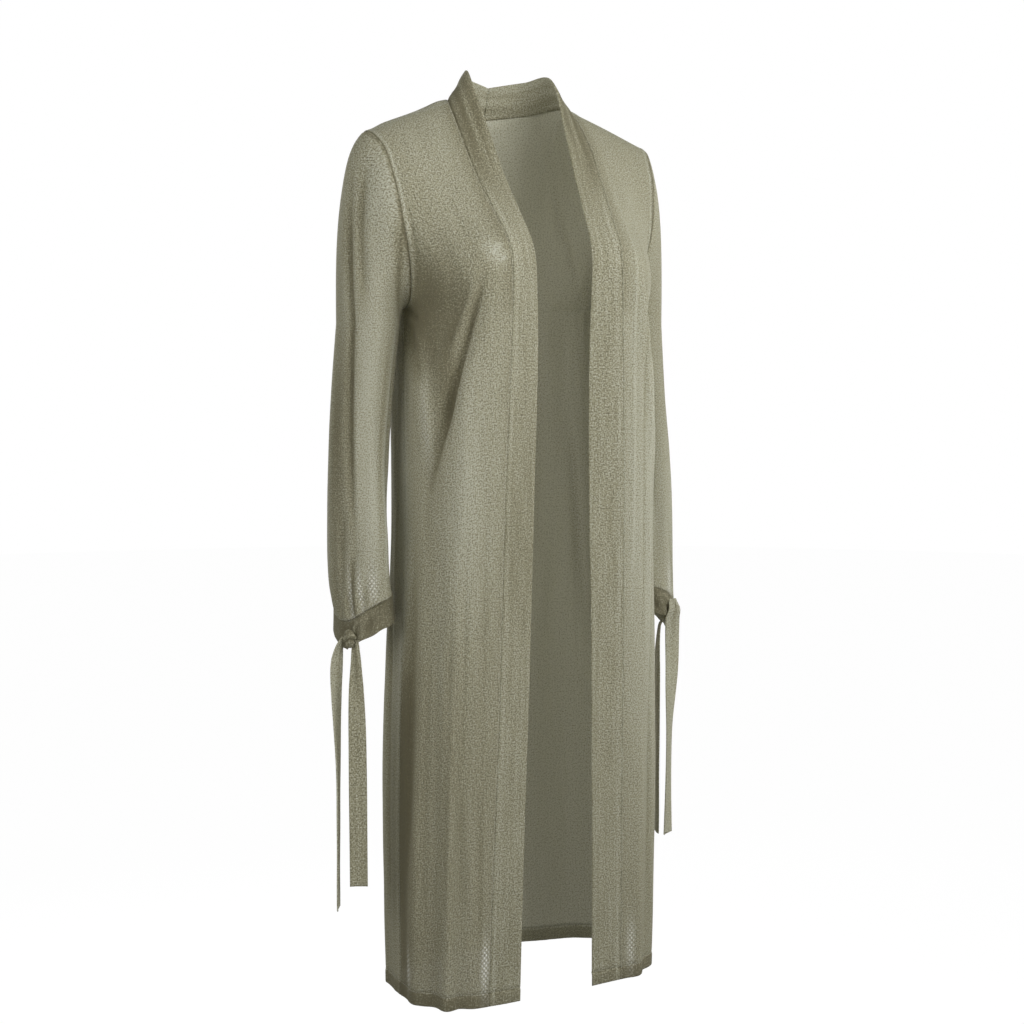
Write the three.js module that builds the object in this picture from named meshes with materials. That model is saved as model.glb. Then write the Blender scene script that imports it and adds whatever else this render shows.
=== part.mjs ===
// Open-front duster cardigan in a fine sheer knit: a back, two fronts, two long sleeves with
// tied cuffs, and one doubled band that runs round the neck and down both fronts.
// Millimetres, +Z up. The front faces -Y and the wearer's left is +X.
// The origin is midway between the shoulders, level with the sides of the neck opening.

import * as THREE from 'three';

const { clamp, degToRad, lerp, smoothstep } = THREE.MathUtils;
const { cos, exp, max, min, PI, sin } = Math;

// Driving dimensions
const LENGTH = 1049;        // shoulder level to hem
const UNDERARM = 249;       // shoulder level to underarm
const SHOULDER_DROP = 53;   // shoulder level to shoulder tip
const ARMHOLE_FRONT = 52;   // how far the armhole reaches forward of the shoulder tip
const ARMHOLE_BACK = 50;    // and behind it
const SIDE_DEPTH = -2;      // how far back the shoulder tip and the underarm lie
const SHOULDER_CROWN = 3;   // how far a shoulder seam rises between its ends
const LEAN = 8;             // how far the skirt hangs towards the wearer's left
const CLOTH = 1.4;          // single knit
const DOUBLED = 2.3;        // band, cuffs and turned-up hem
const HEM_HEIGHT = 16;
const TIE_CLOTH = 1.6;      // a tie end, flattened
const TIE_BOW = 1.2;        // how far the middle of its width stands proud
const SEAM_GAP = 0.3;       // between pieces sewn together

// How finely the pieces are divided
const YOKE_ROWS = 10;       // shoulder seam to underarm, and half the way round an armhole
const SKIRT_ROWS = 19;      // underarm to the top of the hem
const FRONT_COLUMNS = 8;    // band to side seam, and along a shoulder seam
const NECK_COLUMNS = 5;     // centre back to shoulder seam
const CAP_ROWS = 7;         // armhole to the top of the straight sleeve
const SLEEVE_ROWS = 13;     // straight sleeve down to the cuff
const CUFF_ROWS = 3;
const TIE_ROWS = 12;

const SAGE = 0x8d8a70;
const DARK_SAGE = 0x7d7a62;

// Names the columns of a table of numbers, one row for each section or fold
function table(names, rows) {
  const keys = names.split(' ');
  return rows.map((row) => Object.fromEntries(keys.map((key, i) => [key, row[i]])));
}

// The band, by its run from the centre back: the seam that joins it to the garment, and its
// free edge
const NECK_RUN = 108;       // the shoulder seam meets the band here
const UNDERARM_RUN = 393;
const HEM_RUN = 1188;
const BAND = table('run seamX seamY seamZ edgeX edgeY edgeZ', [
  [0, 0, 68, -22, 0, 55, 15],
  [57, 52, 48, -15, 40, 37, 22],
  [NECK_RUN, 79, 6, -11, 56, 0, 22],
  [163, 85, -33, -50, 52, -36, -38],
  [224, 82.5, -67, -100, 47, -68, -98],
  [287, 75.7, -104, -150, 41, -101, -150],
  [320, 72.5, -123, -176, 38, -116, -176],
  [345, 71, -129.5, -201, 36.5, -122, -201],
  [445, 73.5, -128, -301, 33.7, -119.5, -301],
  [594, 78.5, -119, -450, 36, -111, -450],
  [744, 81.5, -110, -600, 40, -105, -600],
  [894, 84, -104, -750, 43.5, -101, -750],
  [1044, 87.5, -98, -900, 47, -98, -900],
  [HEM_RUN, 90.5, -93, -LENGTH, 49.5, -95, -LENGTH],
]);

// How far out the armhole seam lies at each height
const ARMHOLE = table('down out', [
  [53, 188], [72, 181], [100, 177.5], [150, 169], [190, 158.5], [225, 149], [UNDERARM, 142],
]);

// The side seam's distance from the middle on each side, how far forward it lies, and the
// depth of the centre back
const SIDE = table('down right left y', [
  [UNDERARM, 142, 142, SIDE_DEPTH],
  [300, 145, 144, -6],
  [400, 149, 149, -12],
  [500, 152, 153, -14],
  [600, 155, 156, -14],
  [700, 161, 158, -12],
  [800, 163, 161, -10],
  [900, 164, 161, -9],
  [LENGTH, 164, 160, -8],
]);
const CENTRE_BACK = table('down y', [
  [22, 68], [50, 80], [100, 97], [150, 106], [200, 109], [UNDERARM, 107], [350, 99],
  [450, 95], [550, 97], [650, 101], [750, 101], [900, 96], [LENGTH, 90],
]);

// How square the fronts and back turn into the sides: 0.55 is round, 1 is a sharp corner
const FRONT_CORNER = 0.72;
const BACK_CORNER = 0.74;
const BUST_FORWARD = 12;
const BUST_DOWN = 195;
const BUST_REACH = 60;

// The straight sleeve at each height: how far out and back its middle lies, and its half sizes
const SLEEVE = table('down out y halfX halfY', [
  [266, 180, 13, 34, 44],
  [330, 186, 16, 33.5, 43],
  [400, 192, 18, 33, 43],
  [480, 197, 18, 32.5, 43],
  [540, 198, 17, 32.5, 42],
  [580, 194.5, 9, 31.5, 40],
]);
const SLEEVE_TOP = 266;
const SLEEVE_END = { right: 568, left: 579 };
const CAP_LOW = 6;          // how far the cap swells out from the underarm
const CAP_HIGH = 26;        // and from the shoulder tip
const CAP_DROP = 18;
const CUFF_SLOPE = 18;      // how far the cuff seam slopes down towards the knot
const CUFF_DIP = 24;        // and how much more it is drawn down close to it
const CUFF_HEIGHT = 32;
const CUFF_FLARE = 4;
const CUFF_GATHER = 8;      // how much the knot shortens the cuff
const GATHER_ROUND = 0.05;  // place round the sleeve: 0 is straight out, 0.25 is forward
const KNOTS = table('side round depth width height', [
  [-1, 0.1, 5.5, 9.5, 10.5],
  [1, 0.21, 4, 7, 8],
]);

// Soft folds on each panel. Across runs 0 to 1 from the first seam to the second; a negative
// depth is a trough
const FOLD = 'top bottom start end depth width';
const FRONT_RIGHT_FOLDS = table(FOLD, [
  [205, 470, 0.2, 0.86, -6, 0.09],
  [215, 330, 0.48, 0.8, -4, 0.1],
  [255, 420, 0.9, 0.84, 5, 0.1],
  [380, 1300, 0.62, 0.55, -5, 0.1],
  [560, 1350, 0.22, 0.3, -5, 0.09],
  [640, 1400, 0.4, 0.42, 4, 0.08],
  [700, 1400, 0.78, 0.8, 5, 0.09],
]);
const FRONT_LEFT_FOLDS = table(FOLD, [
  [150, 520, 0.12, 0.62, 5, 0.1],
  [215, 430, 0.36, 0.84, -5, 0.1],
  [420, 1350, 0.7, 0.6, 5, 0.11],
  [520, 1300, 0.44, 0.36, -5, 0.09],
  [660, 1400, 0.2, 0.16, 4, 0.08],
]);
const BACK_FOLDS = table(FOLD, [
  [140, 520, 0.2, 0.3, -5, 0.06],
  [150, 560, 0.8, 0.72, -5, 0.06],
  [300, 1300, 0.38, 0.34, -6, 0.06],
  [340, 1350, 0.62, 0.68, -6, 0.06],
  [420, 1300, 0.5, 0.51, 5, 0.07],
  [520, 1400, 0.16, 0.13, 5, 0.05],
  [560, 1400, 0.84, 0.88, 5, 0.05],
]);
const SLEEVE_RIGHT_FOLDS = table(FOLD, [
  [240, 520, 0.62, 0.66, -4, 0.05],
  [300, 640, 0.78, 0.74, -4, 0.045],
  [330, 620, 0.2, 0.24, -4, 0.06],
  [420, 660, 0.4, 0.42, -3, 0.05],
]);
const SLEEVE_LEFT_FOLDS = table(FOLD, [
  [230, 500, 0.68, 0.64, -4, 0.05],
  [320, 640, 0.8, 0.83, -4, 0.05],
  [300, 600, 0.3, 0.26, -4, 0.06],
  [430, 660, 0.45, 0.42, -3, 0.05],
]);

// The tie ends, by how far they fall from the middle of the knot: how far out and back from
// it the middle of the strip hangs, its width and the way that its width faces
const TIE = 'fall out y width facing';
const TIES = {
  tie_right_front: table(TIE, [
    [10.5, -4, -4.5, 8, -62], [26, -4, -8, 12, -48], [60, -4, -9, 17, -34],
    [120, -4, -10, 20, -30], [279, -4, -10, 21, -26],
  ]),
  tie_right_back: table(TIE, [
    [8.5, 3.6, 4.2, 10, 36], [26, 10, 10, 18, 20], [60, 10, 12, 20, 30],
    [150, 8, 14, 22, 55], [309, 8, 14, 22, 58],
  ]),
  tie_left_front: table(TIE, [
    [-13, -3, -4.6, 14, 14], [-4, -2.5, -7.2, 19, 10], [8, -5.5, -7.2, 22, 6],
    [70, -6, -7.5, 22, 10], [150, -8, -6, 22, 40], [278, -9, -6, 22, 30],
  ]),
  tie_left_back: table(TIE, [
    [8.5, -5, 2, 8, 60], [28, -15, 6, 14, 66], [80, -16, 8, 22, 72],
    [150, -16, 8, 22, 70], [278, -16, 8, 22, 66],
  ]),
};

// A smooth line through a table's rows, whose first column is the place along it
function along(rows, place) {
  const names = Object.keys(rows[0]);
  const key = names[0];
  const last = rows.length - 1;
  let i = 0;
  while (i < last - 1 && rows[i + 1][key] < place) i += 1;
  const span = rows[i + 1][key] - rows[i][key];
  const t = clamp((place - rows[i][key]) / span, 0, 1);
  const slope = (k, name) => {
    const before = rows[max(k - 1, 0)];
    const after = rows[min(k + 1, last)];
    return (after[name] - before[name]) / (after[key] - before[key]);
  };
  const value = (name) => {
    const rise = rows[i + 1][name] - rows[i][name];
    const a = slope(i, name) * span - rise;
    const b = rise - slope(i + 1, name) * span;
    return rows[i][name] + rise * t + t * (1 - t) * (a * (1 - t) + b * t);
  };
  return Object.fromEntries(names.map((name) => [name, value(name)]));
}

const point = (x, y, z) => new THREE.Vector3(x, y, z);

// A Bezier row between two points, given the handles that leave them
function bezierRow(start, startHandle, endHandle, end) {
  const curve = new THREE.CubicBezierCurve3(
    start, start.clone().add(startHandle), end.clone().add(endHandle), end);
  return (t) => curve.getPoint(t);
}

const leanAt = (down) => LEAN * smoothstep(down, 200, 700);

// A point on one side of the garment: -1 is the wearer's right, 1 the left
function sided(side, out, y, z) {
  return point(side * out + leanAt(-z), y, z);
}

function bandSeam(side, run) {
  const at = along(BAND, run);
  return sided(side, at.seamX, at.seamY, at.seamZ);
}

function bandEdge(side, run) {
  const at = along(BAND, run);
  return sided(side, at.edgeX, at.edgeY, at.edgeZ);
}

// Round the armhole: 0 at the shoulder tip, 1 at the underarm
function armhole(side, way, reach) {
  const angle = PI * way;
  const middle = (SHOULDER_DROP + UNDERARM) / 2;
  const down = middle - (UNDERARM - middle) * cos(angle);
  return sided(side, along(ARMHOLE, down).out, reach * sin(angle) + SIDE_DEPTH, -down);
}

function sideSeam(side, down) {
  const at = along(SIDE, down);
  return sided(side, side < 0 ? at.right : at.left, at.y, -down);
}

function shoulderSeam(side, t) {
  const neck = bandSeam(side, NECK_RUN);
  const tip = armhole(side, 0, 0);
  return neck.lerp(tip, t).add(point(0, 0, SHOULDER_CROWN * sin(PI * t)));
}

// The rows of the body, top to bottom, as shares of the yoke and then depths of the skirt
const HEM_LINE = LENGTH - HEM_HEIGHT;
const HEM_STEP = 0.6;       // the wall thickens to the turned-up hem over this height
const rows = [];
for (let i = 0; i <= YOKE_ROWS; i += 1) rows.push({ yoke: i / YOKE_ROWS });
for (let i = 1; i <= SKIRT_ROWS; i += 1) {
  rows.push({ yoke: 1, down: lerp(UNDERARM, HEM_LINE, i / SKIRT_ROWS) });
}
rows.push({ yoke: 1, down: HEM_LINE + HEM_STEP });
rows.push({ yoke: 1, down: LENGTH });

function runOf(row) {
  if (row.down === undefined) return lerp(NECK_RUN, UNDERARM_RUN, row.yoke);
  return lerp(UNDERARM_RUN, HEM_RUN, (row.down - UNDERARM) / (LENGTH - UNDERARM));
}

function outerPoint(side, row, reach) {
  return row.down === undefined ? armhole(side, row.yoke, reach) : sideSeam(side, row.down);
}

// How far back the side of the garment lies at a row, armhole or not
function sideDepth(row) {
  return row.down === undefined ? SIDE_DEPTH : along(SIDE, row.down).y;
}

// How deep the folds of a panel are at a place on it. They fade in and out down their length,
// and fade out at the seams
const FADE_IN = 0.35;
const FADE_OUT = 0.6;
const SEAM_FADE = 0.14;
function foldDepth(folds, down, across, wraps) {
  let depth = 0;
  for (const fold of folds) {
    const way = (down - fold.top) / (fold.bottom - fold.top);
    let off = across - lerp(fold.start, fold.end, clamp(way, 0, 1));
    if (wraps) off -= Math.round(off);
    const fade = smoothstep(way, 0, FADE_IN) * (1 - smoothstep(way, FADE_OUT, 1));
    depth += fold.depth * fade * exp(-((off / fold.width) ** 2));
  }
  const seams = wraps ? 1 : smoothstep(across, 0, SEAM_FADE) * smoothstep(1 - across, 0, SEAM_FADE);
  return depth * seams;
}

// Moves the points of a grid out along its own normals by its folds
function addFolds(grid, folds, wraps) {
  const normals = gridNormals(grid);
  const last = grid.points[0].length - (wraps ? 0 : 1);
  grid.points.forEach((line, i) => line.forEach((at, j) => {
    const depth = foldDepth(folds, -at.z, j / last, wraps);
    at.addScaledVector(normals[i][j], depth);
  }));
  return grid;
}

function frontPanel(side, folds) {
  const points = rows.map((row) => {
    const inner = bandSeam(side, runOf(row));
    const outer = outerPoint(side, row, -ARMHOLE_FRONT);
    const chord = outer.clone().sub(inner);
    const forward = BUST_FORWARD * exp(-(((inner.z + BUST_DOWN) / BUST_REACH) ** 2));
    const share = smoothstep(row.yoke, 0, 1);
    const third = chord.clone().divideScalar(3);
    const cornerDepth = lerp(sideDepth(row), inner.y, FRONT_CORNER);
    const leave = third.clone().lerp(
      point(FRONT_CORNER * chord.x, -forward, chord.z / 3), share);
    const arrive = third.clone().negate().lerp(
      point(0, cornerDepth - outer.y, -chord.z / 3), share);
    const curve = bezierRow(inner, leave, arrive, outer);
    const line = [];
    for (let j = 0; j <= FRONT_COLUMNS; j += 1) {
      const t = j / FRONT_COLUMNS;
      line.push(row.yoke === 0 ? shoulderSeam(side, t) : curve(t));
    }
    return line;
  });
  return addFolds({ points, outward: side }, folds, false);
}

// Half of the back, from the centre to one side
function backHalf(side) {
  const columns = NECK_COLUMNS + FRONT_COLUMNS;
  const edge = [];
  for (let j = 0; j < NECK_COLUMNS; j += 1) {
    edge.push(bandSeam(side, (NECK_RUN * j) / NECK_COLUMNS));
  }
  for (let j = 0; j <= FRONT_COLUMNS; j += 1) edge.push(shoulderSeam(side, j / FRONT_COLUMNS));
  let straightTop;
  return rows.map((row) => {
    const neckDrop = CENTRE_BACK[0].down;
    const down = row.down ?? lerp(neckDrop, UNDERARM, row.yoke);
    const inner = point(leanAt(down), along(CENTRE_BACK, down).y, -down);
    const outer = outerPoint(side, row, ARMHOLE_BACK);
    const chord = outer.clone().sub(inner);
    const share = smoothstep(row.yoke, 0, 1);
    const third = chord.clone().divideScalar(3);
    const cornerDepth = lerp(sideDepth(row), inner.y, BACK_CORNER);
    const leave = third.clone().lerp(point(BACK_CORNER * chord.x, 0, chord.z / 3), share);
    const arrive = third.clone().negate().lerp(
      point(0, cornerDepth - outer.y, -chord.z / 3), share);
    const curve = bezierRow(inner, leave, arrive, outer);
    const line = [];
    for (let j = 0; j <= columns; j += 1) line.push(curve(j / columns));
    straightTop = straightTop ?? line;
    const reach = 1 - smoothstep(row.yoke, 0, 0.55);
    return line.map((at, j) => at.add(
      edge[j].clone().sub(straightTop[j]).multiplyScalar(row.yoke === 0 ? 1 : reach)));
  });
}

function backPanel() {
  const right = backHalf(-1);
  const left = backHalf(1);
  const points = right.map((line, i) => [...line.slice(1).reverse(), ...left[i]]);
  return addFolds({ points, outward: -1 }, BACK_FOLDS, false);
}

function bandHalf(side) {
  const runs = [];
  for (let j = 0; j < NECK_COLUMNS; j += 1) runs.push((NECK_RUN * j) / NECK_COLUMNS);
  rows.forEach((row) => runs.push(runOf(row)));
  const points = runs.map((run) => {
    const seam = bandSeam(side, run);
    const edge = bandEdge(side, run);
    return [seam, seam.clone().lerp(edge, 0.5), edge];
  });
  return { points, outward: -side };
}

// One point round a sleeve: round runs 0 to 1 from the armhole's top through the front
function sleeveRing(side, down, round) {
  const at = along(SLEEVE, down);
  const angle = 2 * PI * round;
  return sided(
    side, at.out + at.halfX * cos(angle), at.y - at.halfY * sin(angle), -down);
}

// How near a place round the sleeve is to the gathers: 1 at them, 0 opposite
const nearGathers = (round) => 0.5 + 0.5 * cos(2 * PI * (round - GATHER_ROUND));

// How far the cuff seam drops at one place round the sleeve
const cuffDip = (round) => CUFF_SLOPE * nearGathers(round) + CUFF_DIP * nearGathers(round) ** 6;

function sleeve(side, folds) {
  const count = 2 * YOKE_ROWS;
  const end = side < 0 ? SLEEVE_END.right : SLEEVE_END.left;
  const points = [];
  const round = (j) => j / count;
  const capTop = (j) => (j <= YOKE_ROWS
    ? armhole(side, j / YOKE_ROWS, -ARMHOLE_FRONT)
    : armhole(side, (count - j) / YOKE_ROWS, ARMHOLE_BACK));
  for (let i = 0; i < CAP_ROWS; i += 1) {
    points.push([]);
    for (let j = 0; j < count; j += 1) {
      const start = capTop(j);
      const ring = sleeveRing(side, SLEEVE_TOP, round(j));
      const height = start.z - ring.z;
      const high = 0.5 + 0.5 * cos(2 * PI * round(j));
      const leave = point(side * lerp(CAP_LOW, CAP_HIGH, high), CAP_LOW * high, -CAP_DROP * high);
      const curve = bezierRow(start, leave, point(0, 0, height * lerp(0.35, 0.5, high)), ring);
      points[i].push(curve(i / CAP_ROWS));
    }
  }
  for (let i = 0; i <= SLEEVE_ROWS; i += 1) {
    const way = i / SLEEVE_ROWS;
    points.push([]);
    for (let j = 0; j < count; j += 1) {
      const dip = cuffDip(round(j)) * smoothstep(way, 0.6, 1);
      const at = sleeveRing(side, lerp(SLEEVE_TOP, end, way), round(j));
      at.z -= dip;
      points.at(-1).push(at);
    }
  }
  const grid = { points, outward: -side, wraps: true };
  const kept = points.map((line) => line.map((at) => at.clone()));
  addFolds(grid, folds, true);
  const ends = (i) => smoothstep(i, 0, CAP_ROWS) * (i > CAP_ROWS + SLEEVE_ROWS - 1 ? 0.6 : 1);
  points.forEach((line, i) => line.forEach((at, j) => at.lerpVectors(kept[i][j], at, ends(i))));
  return grid;
}

function cuff(side, sleeveGrid) {
  const top = sleeveGrid.points.at(-1);
  const middle = top.reduce((sum, at) => sum.add(at), point(0, 0, 0)).divideScalar(top.length);
  const points = [];
  for (let i = 0; i <= CUFF_ROWS; i += 1) {
    const way = i / CUFF_ROWS;
    points.push(top.map((at, j) => {
      const near = nearGathers(j / top.length);
      const outward = at.clone().sub(middle).setZ(0).normalize();
      const flare = CUFF_FLARE * (1 - 1.5 * near ** 3) * way;
      const lower = at.clone().addScaledVector(outward, flare);
      lower.z -= way * (CUFF_HEIGHT - CUFF_GATHER * near ** 4);
      return lower;
    }));
  }
  return { points, outward: -side, wraps: true };
}

// Unit normals of a grid of points, facing out of the garment
function gridNormals({ points, outward, wraps }) {
  const height = points.length - 1;
  const count = points[0].length;
  const column = (j) => (wraps ? (j + count) % count : clamp(j, 0, count - 1));
  return points.map((line, i) => line.map((_, j) => {
    const downward = points[min(i + 1, height)][j].clone().sub(points[max(i - 1, 0)][j]);
    const across = line[column(j + 1)].clone().sub(line[column(j - 1)]);
    return across.cross(downward).multiplyScalar(-outward).normalize();
  }));
}

const seamKey = (at) => [at.x, at.y, at.z].map((value) => value.toFixed(2)).join();

// Pieces that share a seam get the same normal along it, so that their cut edges are parallel
function weldNormals(grids) {
  const sums = new Map();
  for (const grid of grids) {
    grid.normals = gridNormals(grid);
    grid.points.forEach((line, i) => line.forEach((at, j) => {
      const sum = sums.get(seamKey(at)) ?? point(0, 0, 0);
      sums.set(seamKey(at), sum.add(grid.normals[i][j]));
    }));
  }
  for (const grid of grids) {
    grid.normals = grid.points.map((line) => line.map(
      (at) => sums.get(seamKey(at)).clone().normalize()));
  }
}

// Draws the sewn edges of a grid in by half the seam gap
function insetSeams(grid, sewn) {
  const { points, normals, wraps } = grid;
  const height = points.length - 1;
  const count = points[0].length;
  const column = (j) => (wraps ? (j + count) % count : clamp(j, 0, count - 1));
  const moved = points.map((line) => line.map((at) => at.clone()));
  const inset = (i, j, before, after, inside) => {
    const tangent = after.clone().sub(before);
    const inward = tangent.cross(normals[i][j]).normalize();
    const sign = Math.sign(inward.dot(inside.clone().sub(points[i][j])));
    moved[i][j].addScaledVector(inward, (sign * SEAM_GAP) / 2);
  };
  for (let j = 0; j < count; j += 1) {
    const before = column(j - 1);
    const after = column(j + 1);
    if (sewn.top) inset(0, j, points[0][before], points[0][after], points[1][j]);
    if (sewn.bottom) {
      inset(height, j, points[height][before], points[height][after], points[height - 1][j]);
    }
  }
  for (let i = 0; i <= height; i += 1) {
    const before = points[max(i - 1, 0)];
    const after = points[min(i + 1, height)];
    if (sewn.first) inset(i, 0, before[0], after[0], points[i][1]);
    if (sewn.last) {
      inset(i, count - 1, before[count - 1], after[count - 1], points[i][count - 2]);
    }
  }
  grid.points = moved;
}

// A closed wall: the grid is its outer face, and its inner face lies a thickness inside
function wall(grid, thickness) {
  const { points, normals, outward, wraps } = grid;
  const height = points.length;
  const count = points[0].length;
  const positions = [];
  for (let face = 0; face < 2; face += 1) {
    for (let i = 0; i < height; i += 1) {
      for (let j = 0; j < count; j += 1) {
        const depth = face * (typeof thickness === 'function' ? thickness(i, j) : thickness);
        positions.push(...points[i][j].clone().addScaledVector(normals[i][j], -depth).toArray());
      }
    }
  }
  const index = [];
  const vertex = (face, i, j) => face * height * count + i * count + (j % count);
  const quad = (a, b, c, d) => {
    if (outward > 0) index.push(a, b, c, a, c, d);
    else index.push(a, c, b, a, d, c);
  };
  const columns = wraps ? count : count - 1;
  for (let i = 0; i < height - 1; i += 1) {
    for (let j = 0; j < columns; j += 1) {
      quad(vertex(0, i, j), vertex(0, i + 1, j), vertex(0, i + 1, j + 1), vertex(0, i, j + 1));
      quad(vertex(1, i, j), vertex(1, i, j + 1), vertex(1, i + 1, j + 1), vertex(1, i + 1, j));
    }
  }
  // An edge face is cut from its upper outer corner, so that neighbours match along a seam
  const heightOf = (v) => positions[3 * v + 2];
  const edge = (a, b, c, d) => {
    const other = b < height * count ? b : d;
    if (heightOf(a) > heightOf(other)) quad(a, b, c, d);
    else quad(b, c, d, a);
  };
  for (let j = 0; j < columns; j += 1) {
    const end = height - 1;
    edge(vertex(0, 0, j), vertex(0, 0, j + 1), vertex(1, 0, j + 1), vertex(1, 0, j));
    edge(vertex(0, end, j), vertex(1, end, j), vertex(1, end, j + 1), vertex(0, end, j + 1));
  }
  for (let i = 0; i < height - 1 && !wraps; i += 1) {
    const end = count - 1;
    edge(vertex(0, i, 0), vertex(1, i, 0), vertex(1, i + 1, 0), vertex(0, i + 1, 0));
    edge(vertex(0, i, end), vertex(0, i + 1, end), vertex(1, i + 1, end), vertex(1, i, end));
  }
  const geometry = new THREE.BufferGeometry();
  geometry.setAttribute('position', new THREE.Float32BufferAttribute(positions, 3));
  geometry.setIndex(index);
  geometry.computeVertexNormals();
  return geometry;
}

const cardigan = new THREE.Group();

function addPiece(name, geometry, color) {
  const material = new THREE.MeshStandardMaterial({ color, roughness: 0.9, metalness: 0 });
  const mesh = new THREE.Mesh(geometry, material);
  mesh.name = name;
  cardigan.add(mesh);
}

// Where the knot sits: on the outside of the cuff near its edge, a little forward
function knotPlace(size, cuffGrid) {
  const upper = cuffGrid.points.at(-2);
  const lower = cuffGrid.points.at(-1);
  const j = Math.round(lower.length * size.round);
  const outward = cuffGrid.normals.at(-1)[j].clone().setZ(0).normalize();
  const middle = upper[j].clone().lerp(lower[j], 0.2);
  return { middle: middle.addScaledVector(outward, size.depth), outward, size };
}

// A small flat knot with a groove round it
const KNOT_GROOVE = 0.16;
const KNOT_GROOVE_WIDTH = 0.3;
function knot({ middle, outward, size }) {
  const geometry = new THREE.SphereGeometry(1, 14, 10);
  geometry.rotateX(PI / 2);
  const across = point(-outward.y, outward.x, 0);
  const at = geometry.attributes.position;
  for (let i = 0; i < at.count; i += 1) {
    const pinch = 1 - KNOT_GROOVE * exp(-((at.getZ(i) / KNOT_GROOVE_WIDTH) ** 2));
    const place = middle.clone()
      .addScaledVector(outward, at.getX(i) * size.depth * pinch)
      .addScaledVector(across, at.getY(i) * size.width * pinch);
    place.z += at.getZ(i) * size.height;
    at.setXYZ(i, place.x, place.y, place.z);
  }
  return geometry;
}

// A tie end: a flat strip that hangs from its knot
function tieEnd(side, stations, knotMiddle) {
  const points = [];
  const start = stations[0].fall;
  const length = stations.at(-1).fall - start;
  for (let i = 0; i <= TIE_ROWS; i += 1) {
    const fall = start + length * (i / TIE_ROWS) ** 1.4;
    const at = along(stations, fall);
    const middle = knotMiddle.clone().add(point(side * at.out, at.y, -fall));
    const facing = degToRad(at.facing);
    const half = point(cos(facing), sin(facing), 0).multiplyScalar(at.width / 2);
    const bow = point(-sin(facing), cos(facing), 0).multiplyScalar(TIE_BOW);
    points.push([middle.clone().sub(half), middle.clone().add(bow), middle.clone().add(half)]);
  }
  return { points, outward: 1 };
}

const grids = {
  back: backPanel(),
  front_right: frontPanel(-1, FRONT_RIGHT_FOLDS),
  front_left: frontPanel(1, FRONT_LEFT_FOLDS),
  band_right: bandHalf(-1),
  band_left: bandHalf(1),
  sleeve_right: sleeve(-1, SLEEVE_RIGHT_FOLDS),
  sleeve_left: sleeve(1, SLEEVE_LEFT_FOLDS),
};
grids.cuff_right = cuff(-1, grids.sleeve_right);
grids.cuff_left = cuff(1, grids.sleeve_left);
weldNormals(Object.values(grids));

const SEWN = {
  back: { top: true, first: true, last: true },
  front_right: { top: true, first: true, last: true },
  front_left: { top: true, first: true, last: true },
  band_right: { top: true, first: true },
  band_left: { top: true, first: true },
  sleeve_right: { top: true, bottom: true },
  sleeve_left: { top: true, bottom: true },
  cuff_right: { top: true },
  cuff_left: { top: true },
};
const hemStart = rows.length - 2;
const panelThickness = (i) => (i >= hemStart ? DOUBLED : CLOTH);
const THICKNESS = {
  back: panelThickness,
  front_right: panelThickness,
  front_left: panelThickness,
  band_right: DOUBLED,
  band_left: DOUBLED,
  sleeve_right: CLOTH,
  sleeve_left: CLOTH,
  cuff_right: DOUBLED,
  cuff_left: DOUBLED,
};
for (const [name, grid] of Object.entries(grids)) {
  insetSeams(grid, SEWN[name]);
  const doubled = THICKNESS[name] === DOUBLED;
  addPiece(name, wall(grid, THICKNESS[name]), doubled ? DARK_SAGE : SAGE);
}

for (const size of KNOTS) {
  const label = size.side < 0 ? 'right' : 'left';
  const place = knotPlace(size, grids[`cuff_${label}`]);
  addPiece(`knot_${label}`, knot(place), DARK_SAGE);
  for (const end of ['front', 'back']) {
    const name = `tie_${label}_${end}`;
    const strip = tieEnd(size.side, TIES[name], place.middle);
    strip.normals = gridNormals(strip);
    addPiece(name, wall(strip, TIE_CLOTH), DARK_SAGE);
  }
}

export default cardigan;
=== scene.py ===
"""An open-front duster cardigan in a sheer fine knit: its cloth, seams, ties and finish.

Lengths are in millimetres until a mesh is made. +Z is up, the front faces -Y and the wearer's
left is +X. Side -1 is the wearer's right and side 1 the left.
"""

import math

import bpy
import numpy as np
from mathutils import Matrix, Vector
from mathutils.kdtree import KDTree


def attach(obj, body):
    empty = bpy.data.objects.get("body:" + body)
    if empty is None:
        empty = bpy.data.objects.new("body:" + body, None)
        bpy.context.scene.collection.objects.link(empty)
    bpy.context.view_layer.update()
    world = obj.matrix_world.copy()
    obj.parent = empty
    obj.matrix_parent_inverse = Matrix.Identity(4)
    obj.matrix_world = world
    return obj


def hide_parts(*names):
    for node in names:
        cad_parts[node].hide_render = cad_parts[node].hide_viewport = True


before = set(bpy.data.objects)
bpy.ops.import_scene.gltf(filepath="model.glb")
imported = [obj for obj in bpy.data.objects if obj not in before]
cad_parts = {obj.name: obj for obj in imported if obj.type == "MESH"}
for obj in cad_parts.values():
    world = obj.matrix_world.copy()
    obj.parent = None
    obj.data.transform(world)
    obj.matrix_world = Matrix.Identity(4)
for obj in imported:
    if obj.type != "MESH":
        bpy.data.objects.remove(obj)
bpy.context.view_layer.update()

METRES = 0.001
TURN = 2 * math.pi

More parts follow.
